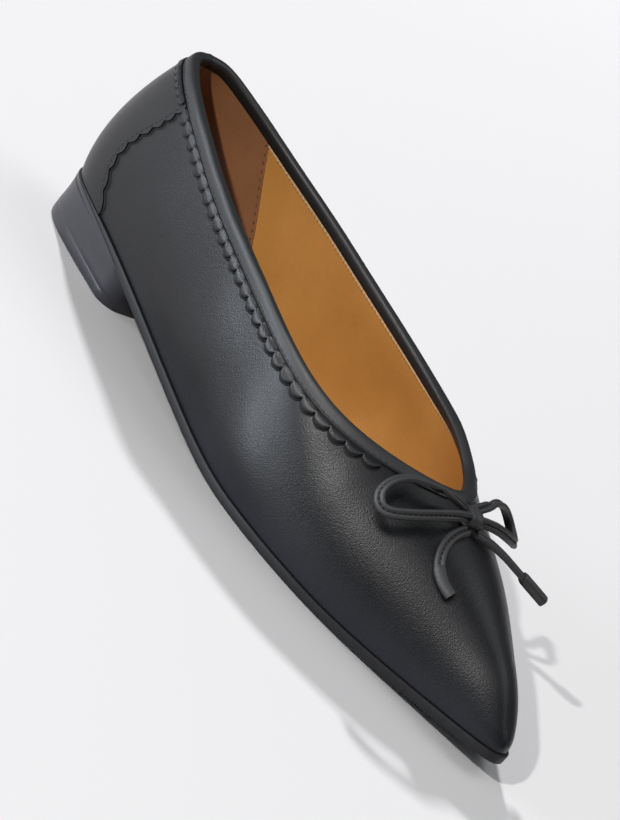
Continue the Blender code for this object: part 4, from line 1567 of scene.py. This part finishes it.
@dataclass
class Topline:
    """The folded binding round the opening and the scalloped strips below it."""

    last: Last
    collar: Collar
    width: float = 0.0042
    inside: float = 0.0034
    trim_width: float = 0.0013
    pitch: float = 0.0054
    scallop: float = 0.0022
    trim_gap: float = 0.0001
    trim_stop: float = 0.024
    trim_start: float = 0.0030
    trim_tuck: float = 0.0013
    tab_pitch: float = 0.0042
    tab_width: float = 0.0010
    tab_scallop: float = 0.0014
    tab_margin: float = 0.001
    # How far outside a strip's free edge its painted shadow line lies, and how wide it is.
    rim_out: float = 0.0003
    rim_width: float = 0.0007
    fullness: float = 0.6
    seam_inset: float = 0.0007
    seam_lift: float = 0.00078
    tick_drop: float = 0.0006
    tick_lift: float = -0.00200
    grain: int = 14
    steps: int = 560
    stitch: Stitch = Stitch(0.0021, 0.0016, 0.00042, 0.0003)
    tick: Stitch = Stitch(0.0017, 0.0005, 0.0011, 0.0003)

    def section(self) -> list[tuple[float, float]]:
        """The binding's section, from its outer edge over the collar to its inner.

        Returns:
            Offsets outwards and distances down, in mm.
        """
        w, n = self.width / MM, self.inside / MM
        return [
            (0.06, w), (0.46, w - 0.02), (0.78, w - 0.40), (0.80, w - 0.95), (0.90, w - 1.6),
            (1.00, w * 0.45), (0.98, 0.9), (0.82, 0.25), (0.45, -0.22), (-0.10, -0.42),
            (-0.85, -0.50), (-1.60, -0.42), (-2.10, -0.15), (-2.42, 0.35), (-2.50, 1.1),
            (-2.46, n - 1.1), (-2.40, n - 0.45), (-2.20, n - 0.05), (-1.84, n),
            (-1.82, 0.7), (-0.9, 0.45), (0.03, 0.7),
        ]

    def swept(self, section: Sequence[tuple[float, float]]) -> Shell:
        """A section in mm carried round the collar, as uneven outside as a hand's fold.

        Args:
            section: Offsets outwards and distances down.

        Returns:
            The closed ring.
        """
        s = self.collar.around(self.steps)
        swell = 1.0 + 0.05 * np.sin(s * 310.0) + 0.04 * np.sin(s * 143.0 + 1.0)
        rings = []
        for offset, distance in section:
            lift = offset * MM * (swell if offset > 0.5 else 1.0)
            rings.append(self.collar.place(s, distance * MM, lift))
        return sweep(np.stack(rings, axis=1), ring=True)

    def strip(
        self, s: Array, share: Array, width: float, wave: float, section: StripSection
    ) -> tuple[Shell, Shell]:
        """A scalloped strip below the binding, its free edge eased.

        Args:
            s: Lengths along the collar's loop.
            share: The same, counted in scallops.
            width: The strip's width between two scallops.
            wave: How far a scallop stands out.
            section: The strip's section.

        Returns:
            The closed strip and a dark line of painted shadow along its free edge.
        """
        drop = width + wave * np.abs(np.sin(math.pi * share)) ** self.fullness
        distance = self.width + self.trim_gap + drop[:, None] * np.array(section.across)
        spots = self.collar.below(s[:, None], distance)
        skin = wall_on(self.last, spots, np.array(section.lift) * MM, section.back)
        spots = self.collar.below(s, self.width + self.rim_out + drop)
        return skin, line_on(self.last, spots, section.rim, self.rim_width)

    def trim(self, side: int, corner: float) -> tuple[Shell, Shell]:
        """One side's strip, from the counter to the bow.

        Args:
            side: -1 outer or 1 inner.
            corner: Station of the counter's top corner.

        Returns:
            The closed strip and a dark line of painted shadow along its free edge.
        """
        start = float(self.collar.arc_at(side, corner)) + self.trim_start - self.trim_tuck
        end = float(self.collar.arcs[side][-1]) - self.trim_stop
        count = round((end - start) / self.pitch)
        share = np.linspace(0.0, count, count * self.grain + 1)
        s = self.collar.loop_at(side, start + (end - start) * share / count)
        return self.strip(s, share, self.trim_width, self.scallop, STRIP)

    def back_trim(self, corner: float) -> tuple[Shell, Shell]:
        """The small tabs that carry the strips on round the heel, over the counter.

        Args:
            corner: Station of the counter's top corner.

        Returns:
            The closed strip and a dark line of painted shadow along its free edge.
        """
        outer, inner = (float(self.collar.arc_at(side, corner)) for side, _ in SIDES)
        whole = outer + inner - 2 * self.tab_margin
        count = round(whole / self.tab_pitch)
        share = np.linspace(0.0, count, count * self.grain + 1)
        s = (self.tab_margin - inner + whole * share / count) % self.collar.total
        return self.strip(s, share, self.tab_width, self.tab_scallop, TABS)

    def line(self, distance: float, lift: float, inward: bool = False) -> Path:
        """A line round the collar for stitches.

        Args:
            distance: How far below the edge.
            lift: How far off the surface.
            inward: Whether the stitches look into the shoe.

        Returns:
            Its points and upward directions.
        """
        spots = self.collar.below(self.collar.around(700, closed=False), distance)
        normal = self.last.normal(spots)
        return self.last.point(spots) + normal * lift, -normal if inward else normal

    def build(self, shop: Workshop, stitcher: Stitcher) -> None:
        """Make the binding, the trim, their stitches and the raw lining edge.

        Args:
            shop: Makes the pieces.
            stitcher: Lays the stitches.
        """
        binding = self.swept(self.section())
        shop.make("binding", binding, BINDING_BLACK, Slot.LEATHER, "topline_binding")
        corner = float(station_at(COUNTER_EDGE[-1].along))
        # Each strip comes with a dark line of painted shadow along the foot of its free edge.
        for side, word in SIDES:
            skin, rim = self.trim(side, corner)
            shop.make(f"scalloped_trim_{word}", skin, BLACK, Slot.LEATHER, f"topline_trim_{word}")
            shop.make(f"trim_cut_edge_{word}", rim, SHADOW_LINE_AND_STITCH_BLACK, Slot.LEATHER)
        # The back tabs, with a painted shadow line along their edge.
        skin, rim = self.back_trim(corner)
        shop.make("scalloped_trim_back", skin, BLACK, Slot.LEATHER)
        shop.make("trim_cut_edge_back", rim, SHADOW_LINE_AND_STITCH_BLACK, Slot.LEATHER)
        seam = self.line(self.width - self.seam_inset, self.seam_lift)
        stitcher.row("binding_stitches", [seam], BLACK_THREAD, Slot.LACE, self.stitch)
        seam = self.line(self.inside + self.tick_drop, self.tick_lift, inward=True)
        stitcher.row("lining_stitches", [seam], TAN_THREAD, Slot.TAN, self.tick)
        shop.make("lining_edge", self.swept(LIP), RAW_EDGE, Slot.TAN)


@dataclass
class Bottom:
    """The outsole, the heel block and the footbed."""

    last: Last
    steps: int = 260
    heel_length: float = 0.057
    heel_corner: float = 0.007
    heel_taper: float = 0.0008
    top_lift: float = 0.0034
    footbed_thick: float = 0.0036
    footbed_front: float = 0.13
    arch_rise: float = 0.0040
    wall: float = 0.0017
    heel_stand: float = 0.00025
    breast_gap: float = 0.0018
    seat_gap: float = 0.0005
    pad_centre: float = 0.40
    pad_reach: float = 0.26
    holes_from: float = 0.10
    holes_turn: float = 0.08
    strips: int = 9
    pad_stitch: Stitch = Stitch(0.0024, 0.0017, 0.0005, 0.0003)
    hole: Stitch = Stitch(0.0022, 0.0008, 0.0007, 0.00022)

    def slab(self, levels: Sequence[tuple[Array, Array]]) -> Shell:
        """A plate from levels, top first, of outer and inner edge points.

        Args:
            levels: The two edges of each level, from front to back.

        Returns:
            The closed plate.
        """
        count = len(levels[0][0])
        across = np.linspace(0.0, 1.0, self.strips)[None, :, None]
        points, faces = [], []
        for level in (levels[0], levels[-1]):
            sheet = level[0][:, None] * (1 - across) + level[1][:, None] * across
            base = sum(len(p) for p in points)
            points.append(sheet.reshape(-1, 3))
            faces += [[i + base for i in face] for face in grid_faces(count, self.strips)]
        ring = [np.concatenate([outer, inner[::-1]]) for outer, inner in levels]
        base = sum(len(p) for p in points)
        points += ring
        size = 2 * count
        for i in range(len(ring) - 1):
            for j in range(size):
                a, b = base + i * size, base + (i + 1) * size
                after = (j + 1) % size
                faces.append([a + j, a + after, b + after, b + j])
        return Shell(np.concatenate(points), faces)

    def outsole(self) -> Shell:
        """The outsole, its edge eased above and below.

        Returns:
            The closed plate.
        """
        share = np.linspace(0.0, 1.0, self.steps)
        k = (1 - np.cos(share * math.pi)) / 2 * 0.5 + share * 0.5
        m, t = self.last.sole_margin / MM, self.last.sole_thick / MM
        section = (
            (m - 1.2, 0.0), (m - 0.25, 0.0), (m - 0.06, 0.07), (m, 0.22), (m + 0.02, t / 2),
            (m, t - 0.45), (m - 0.12, t - 0.15), (m - 0.45, t), (m - 1.5, t),
        )
        levels = []
        for margin, drop in section:
            fall = np.array((0.0, 0.0, self.last.gap + drop * MM))
            levels.append(tuple(self.last.edge(side, k, margin * MM) - fall for side in (-1, 1)))
        return self.slab(levels)

    def heel_edges(self, margin: float, share: float) -> tuple[Array, Array]:
        """The heel's two edges from its breast to its back, at one level.

        Args:
            margin: How far outside the feather edge.
            share: 0 at the floor, 1 under the sole.

        Returns:
            The outer and the inner edge.
        """
        angles = np.radians(np.array([4, 12, 22, 34, 46, 58, 70, 80, 90.0]))
        back = self.heel_corner * (1 - np.cos(angles))
        k = station_at((self.heel_length - back) / self.last.length)
        k = np.concatenate([k, k[-1] + (1 - k[-1]) * np.linspace(0.0, 1.0, 71)[1:] ** 0.8])
        edges = []
        for side in (-1, 1):
            line = self.last.edge(side, k, margin)
            x = line[:, 0] - self.last.shift[0]
            ahead = np.clip(self.heel_corner - (self.heel_length - x), 0.0, self.heel_corner)
            line[:, 1] -= side * (self.heel_corner - np.sqrt(self.heel_corner**2 - ahead**2))
            forward = np.clip(x / self.heel_length, 0.0, 1.0) ** 1.5
            bare = self.seat_gap + self.breast_gap * forward
            line[:, 2] = (self.last.seat(x / self.last.length) - bare) * share
            edges.append(line)
        middle = (edges[0][:, 0] + edges[1][:, 0]) / 2
        edges[0][:, 0] = edges[1][:, 0] = middle
        return edges[0], edges[1]

    def heel(self) -> Shell:
        """The heel block, drawn in a little at its waist, over its top lift.

        Returns:
            The closed block.
        """
        edge = self.last.sole_margin + self.heel_stand
        lift = self.top_lift / (self.last.heel_height - self.last.sole_thick)
        groove = 0.012
        waist = []
        for t in (0.15, 0.3, 0.5, 0.7, 0.85):
            waist.append((1 - t * (1 - lift) * 0.97, 0.35 * math.sin(math.pi * t)))
        rows = [
            (1.0, 0.25), (0.985, 0.0), (0.94, 0.0), *waist, (lift + groove, 0.02), (lift, 0.09),
            (lift - groove, 0.02), (0.06, 0.0), (0.02, 0.12), (0.0, 0.42),
        ]
        levels = []
        for share, pull in rows:
            levels.append(self.heel_edges(edge - self.heel_taper * (1 - share) - pull * MM, share))
        return self.slab(levels)

    def footbed_top(self, along: Array, across: Array) -> Array:
        """Thickness of the footbed, with its pad and the groove round the pad.

        Args:
            along: Shares of the length.
            across: Shares of the half width, below 0 on the outer side.

        Returns:
            Heights above the feather edge.
        """
        body = self.footbed_thick * (1 - 0.5 * ease(self.last.tread_from, 0.85, along))
        edge = 1 - 0.30 * np.abs(across) ** 6 - 0.25 * ease(0.93, 1.0, np.abs(across))
        lengthways = ease(0.17, 0.42, along) * (1 - ease(0.50, 0.70, along))
        crossways = ease(-0.25, 0.55, across) * (1 - 0.55 * ease(0.70, 1.0, across))
        pad = self.arch_rise * lengthways * crossways
        ring = self.pad_ring(along, across)
        quilt = 0.0005 * ease(0.0, 0.5, -ring) - 0.0006 * hill(0.0, 0.05, ring)
        inside = self.inner_ring(along, across)
        return body * edge + pad + quilt - 0.00035 * hill(0.0, 0.018, inside)

    def pad_across(self, x: Array) -> tuple[Array, Array]:
        """The pad's middle and half width across, at -1 to 1 of its length."""
        return 0.12 + 0.22 * x, 0.52 - 0.10 * x

    def pad_ring(self, along: Array, across: Array) -> Array:
        """The stitched pad's outline, a long drop shape under the arch.

        Args:
            along: Shares of the length.
            across: Shares of the half width.

        Returns:
            0 on the outline and below 0 inside it.
        """
        x = (along - self.pad_centre) / self.pad_reach
        middle, half = self.pad_across(x)
        return x * x + ((across - middle) / half) ** 2 - 1

    def hole_reach(self, along: Array) -> Array:
        """Share of the half width at which the line of holes runs."""
        return 0.86 - 0.05 * ease(0.7, 1.0, along)

    def inner_ring(self, along: Array, across: Array) -> Array:
        """The line of holes that runs inside the footbed's edge.

        Args:
            along: Shares of the length.
            across: Shares of the half width.

        Returns:
            0 on the line and below 0 inside it.
        """
        reach = self.hole_reach(along)
        past = np.clip((self.holes_from - along) / self.holes_turn, 0.0, None)
        return np.hypot(across, past * reach) - reach

    def footbed_point(self, k: Array, across: Array) -> Array:
        """Points on the footbed's top.

        Args:
            k: Stations.
            across: Shares of the half width, below 0 on the outer side.

        Returns:
            Points, one row each.
        """
        k, across = np.broadcast_arrays(k, across)
        inset = -(self.wall + 2 * self.last.gap)
        outer, inner = (self.last.edge(side, k, inset) for side in (-1, 1))
        middle, half = (outer + inner) / 2, (inner - outer) / 2
        place = middle + half * across[..., None]
        place[..., 2] += self.footbed_top(share_at(k), across)
        return place

    def footbed(self) -> Shell:
        """The padded footbed as a closed sheet.

        Returns:
            The sheet.
        """
        k = self.footbed_front + (1 - self.footbed_front) * np.linspace(0.0, 1.0, 300)[:, None]
        across = np.sin(np.linspace(-0.5, 0.5, 97) * math.pi)[None, :]
        top = self.footbed_point(k, across)
        base = top.copy()
        base[..., 2] -= self.footbed_top(share_at(k), across * np.ones_like(k))
        return thicken(top, base, grid_faces(*top.shape[:2]))

    def pad_seam(self) -> Path:
        """The pad's stitch line.

        Returns:
            Its points and upward directions.
        """
        turn = np.linspace(0.0, 2 * math.pi, 400)
        x = np.cos(turn)
        middle, half = self.pad_across(x)
        along = self.pad_centre + self.pad_reach * x
        points = self.footbed_point(station_at(along), middle + half * np.sin(turn))
        return points, np.tile((0.0, 0.0, 1.0), (len(points), 1))

    def hole_line(self) -> Path:
        """The line of holes inside the footbed's edge, round the heel.

        Returns:
            Its points and upward directions.
        """
        turn = np.linspace(0.03, 1.57, 40)
        run = np.linspace(0.80, self.holes_from, 160)
        along = np.concatenate([run, self.holes_from - self.holes_turn * np.sin(turn)])
        side = self.hole_reach(along) * np.concatenate([np.ones(160), np.cos(turn)])
        along = np.concatenate([along, along[::-1]])
        points = self.footbed_point(station_at(along), np.concatenate([-side, side[::-1]]))
        return points, np.tile((0.0, 0.0, 1.0), (len(points), 1))

    def build(self, shop: Workshop, stitcher: Stitcher) -> None:
        """Make the sole, the heel and the footbed with its stitching.

        Args:
            shop: Makes the pieces.
            stitcher: Lays the stitches.
        """
        shop.make("sole", self.outsole(), SOLE_EDGE, Slot.SOLE, "outsole")
        shop.make("heel_block", self.heel(), HEEL_EDGE, Slot.HEEL, "heel")
        footbed = shop.make("footbed", self.footbed(), FOOTBED_TAN, Slot.TAN, "insole")
        pad, holes = [self.pad_seam()], [self.hole_line()]
        stitcher.row("footbed_pad_stitches", pad, BROWN_THREAD, Slot.TAN, self.pad_stitch)
        stitcher.row("footbed_edge_holes", holes, BROWN_THREAD, Slot.TAN, self.hole)


@dataclass
class Bow:
    """The lace bow on the vamp: knot, two loops and two tails with wrapped tips."""

    last: Last
    collar: Collar
    width: float = 0.0034
    thick: float = 0.0017
    loop_reach: float = 0.0265
    tail_reach: float = 0.0260
    free: float = 0.0165
    tip: float = 0.0105
    setback: float = 0.0103
    knot_length: float = 0.0072
    knot_width: float = 0.0052
    knot_height: float = 0.0048
    knot_lean: float = 0.10
    channel_depth: float = 0.27
    stitch: Stitch = Stitch(0.0016, 0.0009, 0.00055, 0.00040)

    def __post_init__(self) -> None:
        """Find the knot's place on the ridge."""
        self.k = self.last.ridge_station(self.collar.throat + self.setback / self.last.length)
        self.knot = self.last.point(Spots.of(1.0, np.array([self.k]), np.array([1.0])))[0]

    def above(self, forward: Array, inward: Array, rise: Array) -> Path:
        """Places over the vamp, from the knot, and the ways up.

        Args:
            forward: Towards the toe from the knot.
            inward: To the inner side.
            rise: Square to the vamp.

        Returns:
            Points and unit vectors.
        """
        goal = np.stack([self.knot[0] + forward, self.knot[1] + inward], axis=-1)
        along = (goal[..., 0] - self.last.shift[0]) / self.last.length
        middle = self.last.ridge_inward(along) + self.last.turn(along) + self.last.shift[1]
        side = np.where(goal[..., 1] >= middle, 1.0, -1.0)
        spots = Spots.of(side, np.full(side.shape, self.k), np.full(side.shape, 0.85))
        for _ in range(40):
            by_k, by_v = self.last.moves(spots)
            error = goal - self.last.point(spots)[..., :2]
            matrix = np.stack([by_k[..., :2], by_v[..., :2]], axis=-1)
            change = np.linalg.solve(matrix + np.eye(2) * 1e-9, error[..., None])[..., 0]
            most = np.maximum(np.abs(change).max(axis=-1, keepdims=True), 1e-9)
            change = change * np.minimum(1.0, 0.05 / most)
            k = np.clip(spots.k + change[..., 0], 0.02, 0.9)
            spots = Spots(spots.side, k, np.clip(spots.v + change[..., 1], 0.05, 0.9999))
        up = self.last.normal(spots)
        return self.last.point(spots) + up * rise[..., None], up

    def rows(self, rows: Sequence[LaceRow], reach: float, side: int, steps: int) -> Path:
        """Even steps along a smooth line through a lace's rows.

        Args:
            rows: The rows.
            reach: What they are shares of.
            side: -1 outer or 1 inner.
            steps: How many steps.

        Returns:
            Points and upward directions.
        """
        table = np.array([(r.forward, r.sideways * side, r.rise) for r in rows]) * reach
        marks = lengths(table[:, :2])
        at = np.linspace(0.0, marks[-1], steps)
        forward, inward, rise = (Spline(marks, table[:, i])(at) for i in range(3))
        return self.above(forward, inward, rise)

    def section(self) -> Array:
        """The lace's section: two rounded edges with a channel on its face.

        Returns:
            Points across and off the lace, one row each.
        """
        a = np.linspace(-1.0, 1.0, 21)
        channel = np.maximum(twin_rolls(a), 0.50)
        channel[[0, -1]] = 0.0
        face = np.stack([a, channel * np.where(np.abs(a) < 0.12, 0.78, 1.0)], axis=1)
        back = np.stack([a[::-1], -np.where(np.abs(a[::-1]) > 0.99, 0.0, 0.85)], axis=1)[1:-1]
        return np.concatenate([face, back]) * (self.width / 2, self.thick / 2)

    def ways(self, places: Array, faces_to: Array) -> tuple[Array, Array]:
        """Ways off a lace's face and across it.

        Args:
            places: Points of its middle.
            faces_to: Where its face looks at each of them.

        Returns:
            Unit vectors off the face, and across.
        """
        run = unit(np.gradient(places, axis=0))
        face = unit(faces_to - run * dot(faces_to, run)[:, None])
        return face, np.cross(face, run)

    def lace(self, places: Array, faces_to: Array) -> tuple[Shell, Path]:
        """The lace along places, and its channel's line.

        Args:
            places: Points of its middle.
            faces_to: Where its face looks at each of them.

        Returns:
            The closed lace and its channel's path with upward directions.
        """
        face, beside = self.ways(places, faces_to)
        section = self.section()[None]
        offsets = beside[:, None] * section[..., :1] + face[:, None] * section[..., 1:]
        shell = sweep(places[:, None] + offsets, ring=False)
        return shell, (places + face * self.thick * self.channel_depth, face)

    def loop(self, side: int) -> tuple[Shell, Path]:
        """One loop, standing off the vamp.

        Args:
            side: -1 outer or 1 inner.

        Returns:
            The lace and the channel's path.
        """
        places, up = self.rows(LOOP, self.loop_reach, side, 110)
        middle = self.knot + np.array((-0.16, 0.5 * side, 0.0)) * self.loop_reach
        out = (places - middle) * (1.0, 0.6, 0.0)
        reach = np.abs(places[:, 1] - self.knot[1]) / self.loop_reach
        stand = ease(0.1, 0.5, reach)[:, None]
        return self.lace(places, unit(out) + up * stand * 0.8)

    def sleeve(self, side: int, places: Array, up: Array) -> Shell:
        """The wrapping round a lace's tip.

        Args:
            side: -1 outer or 1 inner.
            places: Points of the lace's middle.
            up: The ways up there.

        Returns:
            The closed sleeve.
        """
        face, beside = self.ways(places, up)
        turn = np.linspace(0.0, 2 * math.pi, 24, endpoint=False)
        far = np.linspace(0.0, 1.0, len(places))
        swell = 0.90 + 0.14 * ease(0.0, 0.10, far) - 0.02 * ease(0.97, 1.0, far)
        fat = (1.03, 1.22) if side < 0 else (1.18, 1.90)
        wide = blunt(np.cos(turn), 0.8) * self.width / 2 * fat[0]
        high = blunt(np.sin(turn), 0.8) * self.thick / 2 * fat[1]
        offsets = beside[:, None] * wide[None, :, None] + face[:, None] * high[None, :, None]
        return sweep(places[:, None] + offsets * swell[:, None, None], ring=False)

    def tail(self, side: int) -> tuple[Shell, Shell, Path]:
        """One tail and its wrapped tip.

        Args:
            side: -1 outer, over the vamp, or 1 inner, run on straight.

        Returns:
            The lace, the tip's sleeve and the channel's path.
        """
        table = OUTER_TAIL if side < 0 else INNER_TAIL
        places, up = self.rows(table, self.tail_reach, side, 60 if side < 0 else 36)
        if side > 0:
            onward = unit(places[-1] - places[-2])
            reach = np.linspace(0.0, self.free, 41)[1:, None]
            places = np.concatenate([places, places[-1] + onward * reach])
            up = np.concatenate([up, np.repeat(up[-1:], 40, axis=0)])
        arc = lengths(places)
        shell, path = self.lace(places, up)
        wrapped = arc > arc[-1] - self.tip
        sleeve = self.sleeve(side, places[wrapped], up[wrapped])
        stop = max(2, int((~wrapped).sum()))
        return shell, sleeve, (path[0][:stop], path[1][:stop])

    def knot_shell(self) -> Shell:
        """The knot: the lace wrapped round the crossing, with its two edges.

        Returns:
            The closed knot.
        """
        middle = np.array([self.last.gap + self.knot_height / 2])
        place, up = (part[0] for part in self.above(np.zeros(1), np.zeros(1), middle))
        across = np.array((0.0, 1.0, 0.0))
        ahead = unit(np.cross(across, up))
        share = np.linspace(-1.0, 1.0, 33)
        size = 0.82 + 0.18 * np.maximum(twin_rolls(share), 0.45)
        turn = np.linspace(0.0, 2 * math.pi, 48, endpoint=False)
        x = blunt(np.cos(turn), 0.72) * self.knot_length / 2
        z = blunt(np.sin(turn), 0.80) * self.knot_height / 2
        ring = ahead * x[:, None] + up * z[:, None]
        lean = share[:, None, None] * self.knot_lean * (ahead * x[:, None])[None]
        places = place + ring[None] * size[:, None, None] + lean
        places = places + across * (share * self.knot_width / 2)[:, None, None]
        return sweep(places, ring=False)

    def build(self, shop: Workshop, stitcher: Stitcher) -> None:
        """Make the bow and the stitches in its channels.

        Args:
            shop: Makes the pieces.
            stitcher: Lays the stitches.
        """
        paths = []
        for side, word in SIDES:
            shell, path = self.loop(side)
            shop.make(f"lace_loop_{word}", shell, LACE_BLACK, Slot.LACE, f"bow_loop_{word}")
            paths.append(path)
            shell, sleeve, path = self.tail(side)
            shop.make(f"lace_tail_{word}", shell, LACE_BLACK, Slot.LACE, f"bow_tail_{word}")
            shop.make(f"lace_tip_{word}", sleeve, LACE_BLACK, Slot.LACE)
            paths.append(path)
        shop.make("lace_knot", self.knot_shell(), LACE_BLACK, Slot.LACE, "bow_knot")
        stitcher.row("lace_stitches", paths, SHADOW_LINE_AND_STITCH_BLACK, Slot.LACE, self.stitch)


class Light(NamedTuple):
    """A soft lamp aimed at the origin, and whether matt and glossy light come from it."""

    name: str
    place: tuple[float, float, float]
    size: tuple[float, float]
    power: float
    colour: Colour
    diffuse: bool = True
    glossy: bool = True


@dataclass
class Studio:
    """The pale floor, the soft lamps and the camera at the picture's angle."""

    last: Last
    eye: tuple[float, float, float] = (0.90791, -1.01293, 0.42706)
    aim: tuple[float, float, float] = (0.12088, 0.0, 0.02338)
    roll: float = 40.37
    lens: float = 202.0
    floor: float = 6.0
    floor_colour: Colour = (0.80, 0.79, 0.795)
    world: float = 0.12
    world_colour: Colour = (0.95, 0.97, 1.0)
    lights: tuple[Light, ...] = (
        Light("side", (-0.60, -2.14, 2.04), (0.85, 0.85), 57.0, (1.0, 0.99, 0.965), diffuse=False),
        Light("sky", (0.45, -1.30, 2.90), (1.50, 1.50), 11.0, (0.98, 0.98, 1.0), diffuse=False),
        Light("sun", (0.42, -2.58, 1.50), (0.07, 0.07), 58.0, (1.0, 0.99, 0.97), glossy=False),
        Light("back", (-3.62, 1.61, 2.14), (0.22, 0.22), 196.0, (0.985, 0.985, 1.0), glossy=False),
        Light("low", (-1.75, -2.10, 0.32), (1.60, 0.60), 48.0, (0.84, 0.91, 1.0)),
        Light("top", (0.50, 1.80, 3.40), (2.8, 2.8), 32.0, (0.96, 0.98, 1.0)),
    )

    def set_floor(self) -> None:
        """Lay the floor, which isn't part of the shoe."""
        h = self.floor / 2
        data = bpy.data.meshes.new("floor")
        square = [(-h, -h, 0.0), (h, -h, 0.0), (h, h, 0.0), (-h, h, 0.0)]
        data.from_pydata(square, [], [(0, 1, 2, 3)])
        paint = Paint("white paper")
        paint.set(Base_Color=(*self.floor_colour, 1.0), Roughness=0.9)
        data.materials.append(paint.material)
        floor = bpy.data.objects.new("floor", data)
        bpy.context.scene.collection.objects.link(floor)

    def set_lights(self) -> None:
        """Hang the lamps and set the room's own light."""
        for light in self.lights:
            data = bpy.data.lights.new(light.name, "AREA")
            data.shape = "RECTANGLE"
            data.size, data.size_y = light.size
            data.energy = light.power
            data.color = light.colour
            lamp = bpy.data.objects.new(light.name, data)
            lamp.location = light.place
            lamp.visible_diffuse, lamp.visible_glossy = light.diffuse, light.glossy
            lamp.rotation_mode = "QUATERNION"
            lamp.rotation_quaternion = (-Vector(light.place)).to_track_quat("-Z", "Y")
            bpy.context.scene.collection.objects.link(lamp)
        world = bpy.data.worlds.new("room")
        world.use_nodes = True
        background = world.node_tree.nodes["Background"]
        background.inputs["Color"].default_value = (*self.world_colour, 1.0)
        background.inputs["Strength"].default_value = self.world
        bpy.context.scene.world = world

    def set_camera(self) -> None:
        """Place the camera where the photograph was taken from, and roll it."""
        data = bpy.data.cameras.new("camera")
        data.lens = self.lens
        data.clip_end = 100.0
        camera = bpy.data.objects.new("camera", data)
        eye = Vector(self.eye) + Vector(self.last.shift)
        aim = Vector(self.aim) + Vector(self.last.shift)
        turn = (aim - eye).to_track_quat("-Z", "Y").to_matrix()
        roll = Matrix.Rotation(math.radians(self.roll), 3, "Z")
        camera.matrix_world = Matrix.Translation(eye) @ (turn @ roll).to_4x4()
        bpy.context.scene.collection.objects.link(camera)
        bpy.context.scene.camera = camera

    def build(self) -> None:
        """Set up the studio."""
        self.set_floor()
        self.set_lights()
        self.set_camera()
        bpy.context.scene.view_settings.view_transform = "Standard"


def main() -> None:
    """Build the shoe, piece by piece, and the studio round it."""
    logging.basicConfig(level=logging.INFO, format="%(name)s: %(message)s")
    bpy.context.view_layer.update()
    shop = Workshop()
    stitcher = Stitcher(shop)
    last = Last()
    collar = Collar(last)
    Studio(last).build()
    Upper(last, collar).build(shop)
    Counter(last, collar).build(shop, stitcher)
    HeelLining(last, collar).build(shop, stitcher)
    Topline(last, collar).build(shop, stitcher)
    Bottom(last).build(shop, stitcher)
    Bow(last, collar).build(shop, stitcher)


if __name__ == "__main__":
    main()
